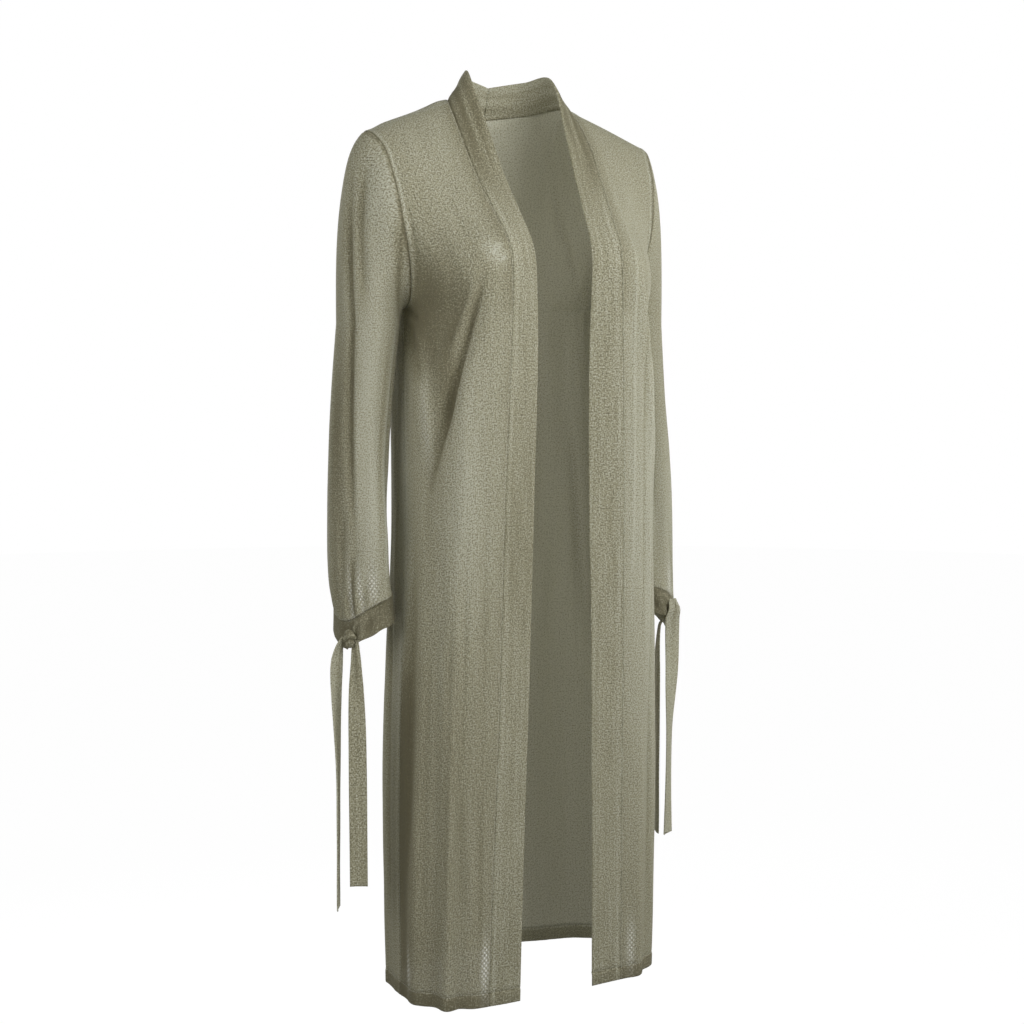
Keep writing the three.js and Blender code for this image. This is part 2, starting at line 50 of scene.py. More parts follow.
# Driving dimensions
LENGTH = 1049           # shoulder level to hem
UNDERARM = 249          # shoulder level to underarm
SHOULDER_DROP = 53      # shoulder level to shoulder tip
ARMHOLE_FRONT = 52      # how far the armhole reaches forward of the shoulder tip
ARMHOLE_BACK = 50       # and behind it
SIDE_DEPTH = -2         # how far back the shoulder tip and the underarm lie
SHOULDER_CROWN = 1.2    # how far a shoulder seam rises between its ends
LEAN = 8                # how far the skirt hangs towards the wearer's left
CLOTH = 1.4             # single knit
DOUBLED = 2.3           # band, cuffs and turned-up hem
TIE_CLOTH = 1.6         # a tie end, flattened
TIE_BOW = 1.2           # how far the middle of its width stands proud
HEM_HEIGHT = 16
SEAM_GAP = 0.06         # between pieces sewn together
LEFT_DRAWN_IN = 7.5     # how far the left shoulder tip is drawn in
NECK_RISE = 6           # how far the back stands up behind the shoulder seams by the neck
SHOULDER_RISE = 4       # and along them
WELD_REACH = 2.5        # how near two sewn edges lie to be joined right through

# How finely the cloth is divided
YOKE_ROWS = 56
SKIRT_ROWS = 190
PANEL_COLUMNS = 84
NECK_ROWS = 34
BAND_COLUMNS = 16
SLEEVE_COLUMNS = 96
CAP_ROWS = 40
SLEEVE_ROWS = 90
CUFF_ROWS = 14
TIE_ROWS = 90
TIE_COLUMNS = 12


def table(names, rows):
    """The columns of a table of numbers by name, one row for each section or fold."""
    return dict(zip(names.split(), np.array(rows, float).T))


# The band, by its run from the centre back: its seam with the garment and its free edge
NECK_RUN = 108
UNDERARM_RUN = 393
HEM_RUN = 1188
BAND = table("run seam_x seam_y seam_z edge_x edge_y edge_z", [
    [0, 0, 68, -22, 0, 55, 15],
    [57, 52, 48, -15, 40, 37, 22],
    [NECK_RUN, 79, 6, -11, 56, 0, 22],
    [163, 85, -33, -50, 52, -36, -38],
    [224, 82.5, -67, -100, 47, -68, -98],
    [287, 75.7, -104, -150, 41, -101, -150],
    [320, 72.5, -123, -176, 38, -116, -176],
    [345, 71, -129.5, -201, 36.5, -122, -201],
    [445, 73.5, -128, -301, 33.7, -119.5, -301],
    [594, 78.5, -119, -450, 36, -111, -450],
    [744, 81.5, -110, -600, 40, -105, -600],
    [894, 84, -104, -750, 43.5, -101, -750],
    [1044, 87.5, -98, -900, 47, -98, -900],
    [HEM_RUN, 90.5, -93, -LENGTH, 49.5, -95, -LENGTH],
])

# How far out the armhole seam lies, the side seams, and the depth of the centre back
ARMHOLE = table("down out", [
    [53, 188], [72, 181], [100, 177.5], [150, 169], [190, 158.5], [225, 149], [UNDERARM, 142],
])
SIDE = table("down right left y", [
    [UNDERARM, 142, 142, SIDE_DEPTH],
    [300, 145, 144, -6],
    [400, 149, 149, -12],
    [500, 152, 153, -14],
    [600, 157.5, 156, -14],
    [700, 161.5, 158, -12],
    [800, 163, 161, -10],
    [900, 163, 161, -9],
    [LENGTH, 161, 160, -8],
])
CENTRE_BACK = table("down y", [
    [22, 68], [50, 80], [100, 97], [150, 106], [200, 109], [UNDERARM, 107], [350, 99],
    [450, 95], [550, 97], [650, 101], [750, 101], [900, 96], [LENGTH, 90],
])
NECK_DROP = 22          # shoulder level to the middle of the back neck seam

# How square the fronts and back turn into the sides
FRONT_CORNER = 0.72
BACK_CORNER = 0.74
FRONT_BREADTH = 215     # the width of a front that its creases are laid out on
BACK_BREADTH = 430      # and of the back
BUST_FORWARD = 12
BUST_DOWN = 195
BUST_REACH = 60
NECK_SHARE = 5 / 13     # of half the back's width, along its top edge

# The straight sleeve, its cap and its cuff
SLEEVE = table("down out y half_x half_y", [
    [266, 180, 13, 34, 44],
    [330, 186, 16, 33.5, 43],
    [400, 192, 18, 33, 43],
    [480, 197, 18, 32.5, 43],
    [540, 198, 17, 32.5, 42],
    [580, 194.5, 9, 31.5, 40],
])
SLEEVE_TOP = 266
SLEEVE_END = {-1: 568, 1: 579}
CAP_LOW = 6             # how far the cap swells out from the underarm
CAP_HIGH = {-1: 26, 1: 20}      # and from the shoulder tip
CAP_DROP = 18
CUFF_SLOPE = 18         # how far the cuff seam slopes down towards the knot
CUFF_DIP = 17           # and how much more it is drawn down close to it
CUFF_HEIGHT = 32
CUFF_FLARE = 4
CUFF_GATHER = 1
GATHER_ROUND = 0.05     # place round the sleeve: 0 is straight out, 0.25 is forward
KNOT_ROUND = {-1: 0.1, 1: 0.21}
KNOT_SIZE = {-1: (5.5, 9.5, 10.5), 1: (4, 7, 8)}    # depth, width and height, each halved

# Large soft folds. Across runs 0 to 1 from the first seam to the second
FOLD = "top bottom start end depth width"
FOLDS = {
    "front_right": table(FOLD, [
        [205, 470, 0.2, 0.86, -6, 0.09],
        [215, 330, 0.48, 0.8, -4, 0.1],
        [255, 420, 0.9, 0.84, 5, 0.1],
        [380, 1300, 0.62, 0.55, -5, 0.1],
        [560, 1350, 0.22, 0.3, -5, 0.09],
        [640, 1400, 0.4, 0.42, 4, 0.08],
        [700, 1400, 0.78, 0.8, 5, 0.09],
    ]),
    "front_left": table(FOLD, [
        [150, 520, 0.12, 0.62, 5, 0.1],
        [215, 430, 0.36, 0.84, -5, 0.1],
        [420, 1350, 0.7, 0.6, 5, 0.11],
        [520, 1300, 0.44, 0.36, -5, 0.09],
        [660, 1400, 0.2, 0.16, 4, 0.08],
    ]),
    "back": table(FOLD, [
        [140, 520, 0.2, 0.3, -5, 0.06],
        [150, 560, 0.8, 0.72, -5, 0.06],
        [300, 1300, 0.38, 0.34, -6, 0.06],
        [340, 1350, 0.62, 0.68, -6, 0.06],
        [420, 1300, 0.5, 0.51, 5, 0.07],
        [520, 1400, 0.16, 0.13, 5, 0.05],
        [560, 1400, 0.84, 0.88, 5, 0.05],
    ]),
    "sleeve_right": table(FOLD, [
        [240, 520, 0.62, 0.66, -4, 0.05],
        [300, 640, 0.78, 0.74, -4, 0.045],
        [400, 760, 0.285, 0.285, 9.5, 0.07],
        [420, 660, 0.4, 0.42, -3, 0.05],
    ]),
    "sleeve_left": table(FOLD, [
        [230, 500, 0.68, 0.64, -4, 0.05],
        [320, 640, 0.8, 0.83, -4, 0.05],
        [300, 600, 0.3, 0.26, -4, 0.06],
        [430, 660, 0.45, 0.42, -3, 0.05],
    ]),
}
# Where along its length a fold has come in and starts to go, and how near a seam it dies out
FADE_IN = 0.35
FADE_OUT = 0.6
SEAM_FADE = 0.14

# The tie ends, by how far they fall from the middle of the knot
TIE = "fall out y width facing"
TIES = {
    "tie_right_front": table(TIE, [
        [1, -5, -3.5, 7, -62], [26, -4, -8, 12, -48], [60, -4, -9, 17, -34],
        [120, -4.5, -10, 20, -30], [285, -5, -10, 20, -26],
    ]),
    "tie_right_back": table(TIE, [
        [-2, 3.8, 4.2, 8, 36], [8, 7.5, 7.5, 13, 28], [26, 10, 10, 18, 20], [60, 10, 12, 20, 30],
        [150, 7.5, 14, 22, 55], [315, 8.5, 14, 22, 60],
    ]),
    "tie_left_front": table(TIE, [
        [-17, -1, -0.5, 11, 14], [-13, -2.6, -4.4, 14, 14], [-4, -2.5, -7.2, 19, 10],
        [8, -5.5, -7.2, 22, 6],
        [70, -6, -7.5, 22, 10], [150, -8, -6, 22, 40], [278, -9, -6, 22, 30],
    ]),
    "tie_left_back": table(TIE, [
        [4, -9, 3, 8, 60], [18, -15.5, 6, 13, 66], [80, -17.5, 8, 22, 74],
        [150, -17, 8, 22, 72], [278, -16.5, 8, 22, 68],
    ]),
}


# Curves and grids

def smooth(value, low, high):
    t = np.clip((value - low) / (high - low), 0, 1)
    return t * t * (3 - 2 * t)


def mix(a, b, t):
    return a + (b - a) * t


def bell(off, width):
    return np.exp(-(off / width) ** 2)


def xyz(x, y, z):
    return np.stack(np.broadcast_arrays(x, y, z), axis=-1).astype(float)


def along(rows, place, *names):
    """Smooth lines through columns of a table, at places along its first column."""
    key = next(iter(rows.values()))
    place = np.clip(place, key[0], key[-1])
    i = np.clip(np.searchsorted(key, place, side="left") - 1, 0, len(key) - 2)
    span = key[i + 1] - key[i]
    t = (place - key[i]) / span
    before = np.r_[0, np.arange(len(key) - 1)]
    after = np.r_[np.arange(1, len(key)), len(key) - 1]
    found = []
    for name in names:
        column = rows[name]
        slope = (column[after] - column[before]) / (key[after] - key[before])
        rise = column[i + 1] - column[i]
        a = slope[i] * span - rise
        b = rise - slope[i + 1] * span
        found.append(column[i] + rise * t + t * (1 - t) * (a * (1 - t) + b * t))
    return found if len(found) > 1 else found[0]


def bezier(start, leave, arrive, end, t):
    """Rows of cubic curves: the ends and handles hold a point for each row."""
    p = [q[:, None, :] for q in (start, start + leave, end + arrive, end)]
    t = np.asarray(t)
    t = t[None, :, None] if t.ndim == 1 else t[:, :, None]
    s = 1 - t
    return s ** 3 * p[0] + 3 * s * s * t * p[1] + 3 * s * t * t * p[2] + t ** 3 * p[3]


def crowded(count, share=0.45):
    """0 to 1 in steps that are finer towards both ends."""
    t = np.linspace(0, 1, count + 1)
    return mix(t, 0.5 - 0.5 * np.cos(np.pi * t), share)


def distances(grid, axis):
    """How far each point of a grid lies from the grid's first, along a row or column."""
    steps = np.linalg.norm(np.diff(grid, axis=axis), axis=-1)
    first = np.zeros_like(steps[:1] if axis == 0 else steps[:, :1])
    return np.cumsum(np.concatenate([first, steps], axis=axis), axis=axis)


def slope_of(grid, axis, wraps=False):
    if wraps:
        return np.roll(grid, -1, axis) - np.roll(grid, 1, axis)
    return np.gradient(grid, axis=axis)


def unit(vectors):
    return vectors / np.maximum(np.linalg.norm(vectors, axis=-1, keepdims=True), 1e-9)


def normals_of(grid, outward, wraps=False):
    across = slope_of(grid, 1, wraps)
    return unit(np.cross(across, slope_of(grid, 0)) * -outward)


# The garment's lines

def lean(down):
    return LEAN * smooth(down, 200, 700)


def sided(side, out, y, z):
    return xyz(side * out + lean(-z), y, z)


def band_seam(side, run):
    return sided(side, *along(BAND, run, "seam_x", "seam_y", "seam_z"))


def band_edge(side, run):
    return sided(side, *along(BAND, run, "edge_x", "edge_y", "edge_z"))


def armhole(side, way, reach):
    """Round the armhole: 0 at the shoulder tip, 1 at the underarm."""
    middle = (SHOULDER_DROP + UNDERARM) / 2
    down = middle - (UNDERARM - middle) * np.cos(np.pi * way)
    depth = reach * np.sin(np.pi * way) + SIDE_DEPTH
    drawn_in = LEFT_DRAWN_IN * (1 - smooth(down, 110, 240)) * (side > 0)
    return sided(side, along(ARMHOLE, down, "out") - drawn_in, depth, -down)


def side_seam(side, down):
    out, y = along(SIDE, down, "right" if side < 0 else "left", "y")
    return sided(side, out, y, -down)


def shoulder_seam(side, t):
    t = np.asarray(t, float)[:, None]
    neck = band_seam(side, NECK_RUN)
    tip = armhole(side, 0.0, 0)
    crown = np.concatenate([0 * t, 0 * t, SHOULDER_CROWN * np.sin(np.pi * t)], axis=1)
    return mix(neck, tip, t) + crown


# The rows of the body from top to bottom. The yoke's share reaches 1 at the underarm
HEM_LINE = LENGTH - HEM_HEIGHT
HEM_ROWS = [HEM_LINE - 1.2, HEM_LINE - 0.4, HEM_LINE + 0.4, HEM_LINE + 1.2]
EDGE_ROWS = [LENGTH - 1.2, LENGTH - 0.6, LENGTH - 0.25, LENGTH - 0.06]
skirt_rows = np.unique(np.concatenate([
    np.linspace(UNDERARM, LENGTH, SKIRT_ROWS + 1)[1:], HEM_ROWS, EDGE_ROWS]))
ROW_YOKE = np.concatenate([np.linspace(0, 1, YOKE_ROWS + 1), np.ones(len(skirt_rows))])
ROW_DOWN = np.concatenate([np.full(YOKE_ROWS + 1, UNDERARM), skirt_rows])
ROW_RUN = (mix(NECK_RUN, UNDERARM_RUN, ROW_YOKE)
           + (HEM_RUN - UNDERARM_RUN) * (ROW_DOWN - UNDERARM) / (LENGTH - UNDERARM))
IN_YOKE = np.arange(len(ROW_YOKE)) <= YOKE_ROWS
ROW_SHARE = smooth(ROW_YOKE, 0, 1)[:, None]


def outer_line(side, reach):
    return np.where(
        IN_YOKE[:, None], armhole(side, ROW_YOKE, reach), side_seam(side, ROW_DOWN))


def side_handles(inner, outer, leave_x, leave_y, corner):
    """Handles that turn a row from the front or back into the side."""
    chord = outer - inner
    third = chord / 3
    depth = np.where(IN_YOKE, SIDE_DEPTH, along(SIDE, ROW_DOWN, "y"))
    corner_depth = mix(depth, inner[:, 1], corner)
    leave = xyz(leave_x * chord[:, 0], leave_y, chord[:, 2] / 3)
    arrive = xyz(0, corner_depth - outer[:, 1], -chord[:, 2] / 3)
    return mix(third, leave, ROW_SHARE), mix(-third, arrive, ROW_SHARE)


def front_grid(side, t):
    inner = band_seam(side, ROW_RUN)
    outer = outer_line(side, -ARMHOLE_FRONT)
    forward = BUST_FORWARD * bell(inner[:, 2] + BUST_DOWN, BUST_REACH)
    leave, arrive = side_handles(inner, outer, FRONT_CORNER, -forward, FRONT_CORNER)
    grid = bezier(inner, leave, arrive, outer, t)
    grid[..., 2] += (SHOULDER_CROWN * np.sin(np.pi * t)[None, :]
                     * (1 - smooth(ROW_YOKE, 0, 0.14))[:, None])
    return grid


def back_half(side, t):
    neck_count = int(np.searchsorted(t, NECK_SHARE))
    neck = band_seam(side, NECK_RUN * t[:neck_count] / NECK_SHARE)
    shoulder = shoulder_seam(side, (t[neck_count:] - NECK_SHARE) / (1 - NECK_SHARE))
    top = np.concatenate([neck, shoulder])
    down = np.where(IN_YOKE, mix(NECK_DROP, UNDERARM, ROW_YOKE), ROW_DOWN)
    inner = xyz(lean(down), along(CENTRE_BACK, down, "y"), -down)
    outer = outer_line(side, ARMHOLE_BACK)
    leave, arrive = side_handles(inner, outer, BACK_CORNER, 0, BACK_CORNER)
    grid = bezier(inner, leave, arrive, outer, t)
    reach = 1 - smooth(ROW_YOKE, 0, 0.55)
    return grid + (top - grid[0])[None] * reach[:, None, None]


def back_grid(t):
    right = back_half(-1, t)
    left = back_half(1, t)
    return np.concatenate([right[:, :0:-1], left], axis=1)


def near_gathers(around):
    return 0.5 + 0.5 * np.cos(TURN * (around - GATHER_ROUND))


def sleeve_ring(side, down, around):
    out, y, half_x, half_y = along(SLEEVE, down, "out", "y", "half_x", "half_y")
    angle = TURN * around
    return sided(side, out + half_x * np.cos(angle), y - half_y * np.sin(angle), -down)


def sleeve_grid(side, around):
    high = 0.5 + 0.5 * np.cos(TURN * around)
    front = armhole(side, np.minimum(2 * around, 1), -ARMHOLE_FRONT)
    back = armhole(side, np.clip(2 - 2 * around, 0, 1), ARMHOLE_BACK)
    top = np.where((around <= 0.5)[:, None], front, back)
    ring = sleeve_ring(side, np.full_like(around, SLEEVE_TOP), around)
    leave = xyz(side * mix(CAP_LOW, CAP_HIGH[side], high), CAP_LOW * high, -CAP_DROP * high)
    arrive = xyz(0, 0, (top - ring)[:, 2] * mix(0.35, 0.5, high))
    t = np.linspace(0, 1, CAP_ROWS + 1)[:-1]
    cap = bezier(top, leave, arrive, ring, t).transpose(1, 0, 2)
    way = np.linspace(0, 1, SLEEVE_ROWS + 1)[:, None]
    straight = sleeve_ring(side, mix(SLEEVE_TOP, SLEEVE_END[side], way), around[None])
    near = near_gathers(around)
    dip = CUFF_SLOPE * near + CUFF_DIP * near ** 6
    straight[..., 2] -= dip[None] * smooth(way, 0.6, 1)
    return np.concatenate([cap, straight])


def cuff_grid(top, around):
    middle = top.mean(axis=0)
    outward = unit((top - middle) * [1, 1, 0])
    near = near_gathers(around)
    way = cuff_ways()[:, None]
    flare = CUFF_FLARE * (1 - 1.5 * near ** 3)[None] * way
    grid = top[None] + outward[None] * flare[..., None]
    grid[..., 2] -= way * (CUFF_HEIGHT - CUFF_GATHER * near ** 4)[None]
    return grid


def cuff_ways():
    return np.concatenate([np.linspace(0, 0.96, CUFF_ROWS), [0.98, 0.992, 1]])


# Folds and creases

def fold_depth(folds, down, across, wraps=False):
    depth = np.zeros(np.broadcast(down, across).shape)
    for top, bottom, start, end, deep, width in zip(*folds.values()):
        way = (down - top) / (bottom - top)
        off = across - mix(start, end, np.clip(way, 0, 1))
        if wraps:
            off = off - np.round(off)
        depth += deep * smooth(way, 0, FADE_IN) * (1 - smooth(way, FADE_OUT, 1)) * bell(off, width)
    if wraps:
        return depth
    return depth * smooth(across, 0, SEAM_FADE) * smooth(1 - across, 0, SEAM_FADE)


# Sharper creases, each along a line from one place to another. Near and far are its widths in
# millimetres towards the first seam and away from it
CREASE = "down across down_end across_end depth near far"
CREASES = {
    "front_right": table(CREASE, [
        [200, 0.22, 420, 0.68, -5.6, 3.2, 11],
        [212, 0.385, 305, 0.61, -2.2, 5, 10],
        [330, 0.5, 470, 0.8, -4.2, 9, 12],
        [246, 1.0, 264, 0.84, -3.8, 2.5, 3.5],
        [262, 0.96, 340, 0.8, -3.4, 8, 10],
        [120, 0.86, 236, 0.92, -1.8, 9, 12],
        [310, 0.8, 430, 0.72, 2.6, 8, 9],
        [460, 0.9, 940, 0.86, -3.4, 11, 8],
        [420, 0.16, 1010, 0.1, -1.4, 5, 8],
        [440, 0.34, 1020, 0.26, -1.6, 6, 9],
        [520, 0.47, 1030, 0.44, -1.5, 6, 8],
        [560, 0.7, 1035, 0.68, -2.0, 6, 9],
    ]),
    "front_left": table(CREASE, [
        [200, 0.2, 380, 0.62, -3.8, 4, 11],
        [225, 0.45, 300, 0.66, -2.6, 5, 9],
        [246, 1.0, 264, 0.84, -3.4, 2.5, 3.5],
        [130, 0.86, 236, 0.92, -1.6, 9, 12],
        [310, 0.86, 540, 0.78, 2.2, 9, 9],
        [60, 0.15, 620, 0.07, 1.5, 4, 4],
        [90, 0.3, 700, 0.2, -1.4, 4, 5],
        [120, 0.42, 760, 0.3, 1.2, 5, 5],
        [420, 0.42, 1010, 0.46, -1.8, 6, 8],
        [470, 0.68, 1020, 0.66, -2.0, 7, 8],
        [560, 0.9, 1000, 0.88, -2.2, 8, 7],
    ]),
    "back": table(CREASE, [
        [60, 0.3, 230, 0.12, -2.2, 6, 10],
        [62, 0.71, 240, 0.88, -2.4, 9, 6],
        [247, 0.0, 275, 0.1, -3.4, 3, 4],
        [247, 1.0, 272, 0.9, -3.4, 4, 3],
        [110, 0.5, 330, 0.47, -1.4, 9, 12],
        [330, 0.25, 620, 0.22, -2.8, 8, 12],
        [360, 0.77, 640, 0.8, -2.8, 11, 8],
        [300, 0.42, 380, 0.58, -1.3, 6, 7],
        [335, 0.62, 400, 0.44, -1.1, 6, 7],
        [480, 0.33, 1020, 0.31, -2.2, 7, 9],
        [500, 0.58, 1020, 0.6, -2.0, 8, 7],
        [540, 0.08, 1010, 0.07, -2.2, 7, 8],
        [520, 0.92, 1020, 0.93, -2.0, 8, 7],
    ]),
    "sleeve_right": table(CREASE, [
        [70, 0.03, 540, 0.16, -5.0, 7, 3.4],
        [80, 0.075, 250, 0.15, -3.0, 4, 5],
        [230, 0.25, 560, 0.27, -1.8, 4, 5],
        [250, 0.37, 520, 0.33, -2.2, 5, 5],
        [470, 0.09, 592, 0.06, -3.0, 4, 5],
        [500, 0.015, 600, 0.035, -2.4, 4, 4],
        [505, 0.17, 600, 0.09, -2.2, 4, 5],
        [530, 0.24, 606, 0.14, -1.6, 4, 5],
        [130, 0.85, 420, 0.88, -3.0, 6, 6],
        [260, 0.55, 420, 0.56, -2.6, 6, 6],
        [300, 0.72, 540, 0.7, -2.2, 6, 7],
    ]),
    "sleeve_left": table(CREASE, [
        [100, 0.93, 450, 0.9, -3.4, 5, 6],
        [110, 0.12, 420, 0.11, -3.0, 6, 6],
        [240, 0.3, 540, 0.31, -2.0, 6, 6],
        [490, 0.03, 600, 0.05, -2.6, 4, 5],
        [500, 0.94, 600, 0.98, -2.2, 4, 4],
        [510, 0.2, 610, 0.12, -2.0, 4, 5],
        [260, 0.55, 430, 0.54, -2.6, 6, 6],
        [300, 0.7, 540, 0.72, -2.2, 6, 7],
    ]),
}

# Painted light and shade: the knit is painted paler where light falls on it, as at the bust
# highlight, and deeper where shade falls. A place's reaches are in millimetres down and in share of
# the width across
PLACE = "down across reach_down reach_across strength"
PAINTED_LIGHT_AND_SHADE = {
    "front_right": table(PLACE, [
        [75, 0.45, 70, 0.4, 0.2],
        [190, 0.13, 15, 0.1, 0.65],
        [215, 0.2, 50, 0.2, -0.15],
        [240, 0.8, 55, 0.28, -0.65],
        [262, 0.9, 55, 0.13, -0.65],
        [250, 0.52, 40, 0.2, -0.3],
        [330, 0.64, 70, 0.12, -0.35],
        [245, 0.75, 40, 0.15, -0.3],
        [380, 0.76, 60, 0.06, 0.15],
        [320, 0.58, 50, 0.07, -0.55],
        [700, 0.97, 150, 0.1, -1.1],
        [400, 0.3, 150, 0.22, 0.35],
        [520, 0.4, 130, 0.3, 0.35],
        [430, 1.0, 190, 0.07, 0.45],
        [600, 1.0, 100, 0.1, 1.2],
        [760, 0.5, 180, 0.5, -0.2],
        [920, 0.93, 220, 0.13, -1.25],
        [1010, 0.5, 120, 0.6, -0.12],
    ]),
    "front_left": table(PLACE, [
        [120, 0.4, 80, 0.4, 0.1],
        [260, 0.4, 120, 0.5, 0.2],
        [470, 0.4, 200, 0.6, 0.6],
        [700, 0.5, 180, 0.5, 0.35],
        [1000, 0.5, 110, 0.7, -0.1],
    ]),
    "back": table(PLACE, [
        [500, 0.0, 240, 0.06, 1.1],
        [110, 0.25, 80, 0.16, 0.3],
        [110, 0.75, 80, 0.16, 0.3],
        [600, 0.3, 120, 0.16, 0.3],
        [600, 0.7, 120, 0.16, 0.3],
        [340, 0.5, 90, 0.2, -0.2],
        [1000, 0.5, 110, 0.7, -0.15],
    ]),
    "sleeve_right": table(PLACE, [
        [100, 0.17, 55, 0.14, 0.5],
        [330, 0.2, 230, 0.085, 0.6],
        [400, 0.03, 130, 0.05, -0.7],
        [250, 0.05, 50, 0.05, 0.5],
        [480, 0.26, 80, 0.05, 0.6],
        [330, 0.6, 230, 0.2, 0.3],
        [590, 0.12, 26, 0.2, -0.3],
    ]),
    "sleeve_left": table(PLACE, [
        [500, 0.15, 90, 0.2, 0.45],
        [100, 0.2, 60, 0.2, 0.25],
        [330, 0.2, 230, 0.12, 0.1],
        [330, 0.6, 230, 0.2, 0.3],
    ]),
}

# Painted lines in the knit: painted shade along its folds, painted highlights on its ridges and the
# bust, paler lines along seams
STRIPE = "down across down_end across_end strength near far"
LIGHT_AND_SHADE_LINES = {
    "front_right": table(STRIPE, [
        [200, 0.22, 430, 0.7, -0.6, 1.8, 9],
        [212, 0.385, 305, 0.61, -0.15, 3, 9],
        [256, 0.97, 300, 0.82, -0.7, 3, 6],
        [240, 0.9, 330, 0.66, -0.35, 12, 14],
        [181, 0.03, 183, 0.25, 0.7, 1.5, 1.5],
        [188, 0.01, 189, 0.27, 0.7, 1.5, 1.5],
        [195, 0.02, 198, 0.24, 0.7, 1.5, 1.5],
        [330, 0.5, 470, 0.78, -0.25, 7, 12],
        [250, 0.99, 620, 0.99, 0.8, 1.3, 1.3],
        [700, 0.86, 1020, 0.84, 0.3, 3, 4],
        [640, 0.92, 1030, 0.93, -0.35, 3, 4],
        [780, 0.12, 1040, 0.07, -0.25, 3, 5],
    ]),
    "front_left": table(STRIPE, [
        [60, 0.15, 660, 0.07, 0.45, 2, 2],
        [100, 0.3, 720, 0.2, -0.35, 3, 4],
        [120, 0.42, 760, 0.3, 0.25, 3, 3],
        [420, 0.42, 1010, 0.46, -0.2, 5, 6],
    ]),
    "back": table(STRIPE, [
        [60, 0.3, 230, 0.12, -0.4, 5, 8],
        [62, 0.71, 240, 0.88, -0.4, 8, 5],
        [300, 0.42, 380, 0.58, -0.25, 5, 6],
        [330, 0.25, 620, 0.22, -0.45, 5, 9],
        [360, 0.77, 640, 0.8, -0.45, 9, 5],
        [480, 0.33, 1020, 0.31, -0.35, 5, 8],
        [500, 0.58, 1020, 0.6, -0.35, 7, 5],
        [540, 0.08, 1010, 0.07, -0.35, 6, 7],
        [520, 0.92, 1020, 0.93, -0.35, 7, 6],
    ]),
    "sleeve_right": table(STRIPE, [
        [60, 0.03, 560, 0.16, -0.8, 6, 2.6],
        [75, 0.075, 280, 0.155, -0.55, 5, 4],
        [200, 0.275, 600, 0.285, -0.4, 2.5, 3.5],
        [215, 0.345, 620, 0.285, 1.0, 2.2, 2.2],
        [215, 0.31, 600, 0.255, -0.4, 3, 2],
        [520, 0.135, 615, 0.125, -1.1, 2.5, 2.5],
        [130, 0.24, 275, 0.37, -0.9, 4.5, 4.5],
        [120, 0.11, 420, 0.19, 0.2, 6, 6],
    ]),
    "sleeve_left": table(STRIPE, [
        [90, 0.93, 470, 0.9, -0.5, 4, 5],
        [110, 0.12, 430, 0.11, -0.5, 4, 5],
        [190, 0.3, 600, 0.31, 0.5, 2, 2],
    ]),
}

# Where the knit is drawn thin: light shows through it, and it is also painted paler as a net,
# painted light seen through
THIN_WITH_PAINTED_LIGHT = {
    "front_right": table(PLACE, [
        [1000, 0.045, 30, 0.03, 1.0],
        [1008, 0.86, 22, 0.025, 0.8],
        [385, 0.77, 44, 0.035, 0.3],
    ]),
    "front_left": table(PLACE, [
        [1005, 0.1, 26, 0.035, 0.8],
    ]),
    "back": table(PLACE, [
        [1005, 0.56, 26, 0.02, 0.8],
        [1000, 0.2, 26, 0.02, 0.5],
    ]),
    "sleeve_right": table(PLACE, [
        [566, 0.168, 24, 0.01, 0.9],
        [560, 0.23, 20, 0.018, 0.85],
        [575, 0.112, 34, 0.007, 1.0],
    ]),
    "sleeve_left": table(PLACE, [
        [584, 0.2, 24, 0.022, 0.8],
    ]),
}


def painted(places, down, across, wraps=False):
    """The sum of soft round-edged places on a panel."""
    total = np.zeros(np.broadcast(down, across).shape)
    for row in zip(*places.values()):
        at_down, at_across, reach_down, reach_across, strength = row
        off = across - at_across
        if wraps:
            off = off - np.round(off)
        total += strength * bell(down - at_down, reach_down) * bell(off, reach_across)
    return total


def crease_depth(creases, down, across, breadth, wraps=False):
    """Creases in a panel that is breadth wide."""
    depth = np.zeros(np.broadcast(down, across).shape)
    for row in zip(*creases.values()):
        down_0, across_0, down_1, across_1, deep, near, far = row
        rise = down_1 - down_0
        run = (across_1 - across_0) * breadth
        length = math.hypot(rise, run)
        off_u = across - across_0
        if wraps:
            off_u = off_u - np.round(off_u)
        off_u = off_u * breadth
        off_v = down - down_0
        way = (off_u * run + off_v * rise) / length ** 2
        off = (off_u * rise - off_v * run) / length
        shape = np.where(off < 0, bell(off, near), bell(off, far))
        depth += deep * shape * smooth(way, 0, 0.3) * (1 - smooth(way, 0.7, 1))
    return depth


def waves(u, v, seed, height, spacing, reach, count=7):
    """Soft uneven waves that run down the cloth, none of them alike."""
    random = np.random.default_rng(seed)
    total = np.zeros(np.broadcast(u, v).shape)
    for _ in range(count):
        across = TURN / (spacing * random.uniform(0.7, 1.6))
        down = TURN / (reach * random.uniform(0.7, 1.7)) * random.choice([-1, 1])
        total += random.uniform(0.5, 1) * np.sin(across * u + down * v + random.uniform(0, TURN))
    return height * total / math.sqrt(count)


# Painted shade in the hollows of the relief and painted light on its ridges, in tone for each
# millimetre
PAINTED_RELIEF_SHADE = 0.085

# How much deeper than the single knit each of these looks. A minus is paler
HEM_TONE = 0.45
NECK_BAND_TONE = 0.65
CUFF_TONE = 0.85
KNOT_TONE = 0.4
# The tie ends are the same knit, painted in light and shade by how light falls on each
TIE_LIGHT_AND_SHADE = {"tie_right_front": 0.17, "tie_right_back": -0.45, "tie_left_front": -0.3,
            "tie_left_back": 0.0}

# The cloth swells beside a seam, and the edge of the seam's allowance shows as a faint ridge
WELT = 2.4
WELT_HEIGHT = 0.55
ALLOWANCE = 6
ALLOWANCE_HEIGHT = 0.25


def seam_relief(distance, share=1.0):
    welt = WELT_HEIGHT * bell(distance - WELT, 1.5)
    return share * (welt + ALLOWANCE_HEIGHT * bell(distance - ALLOWANCE, 2))


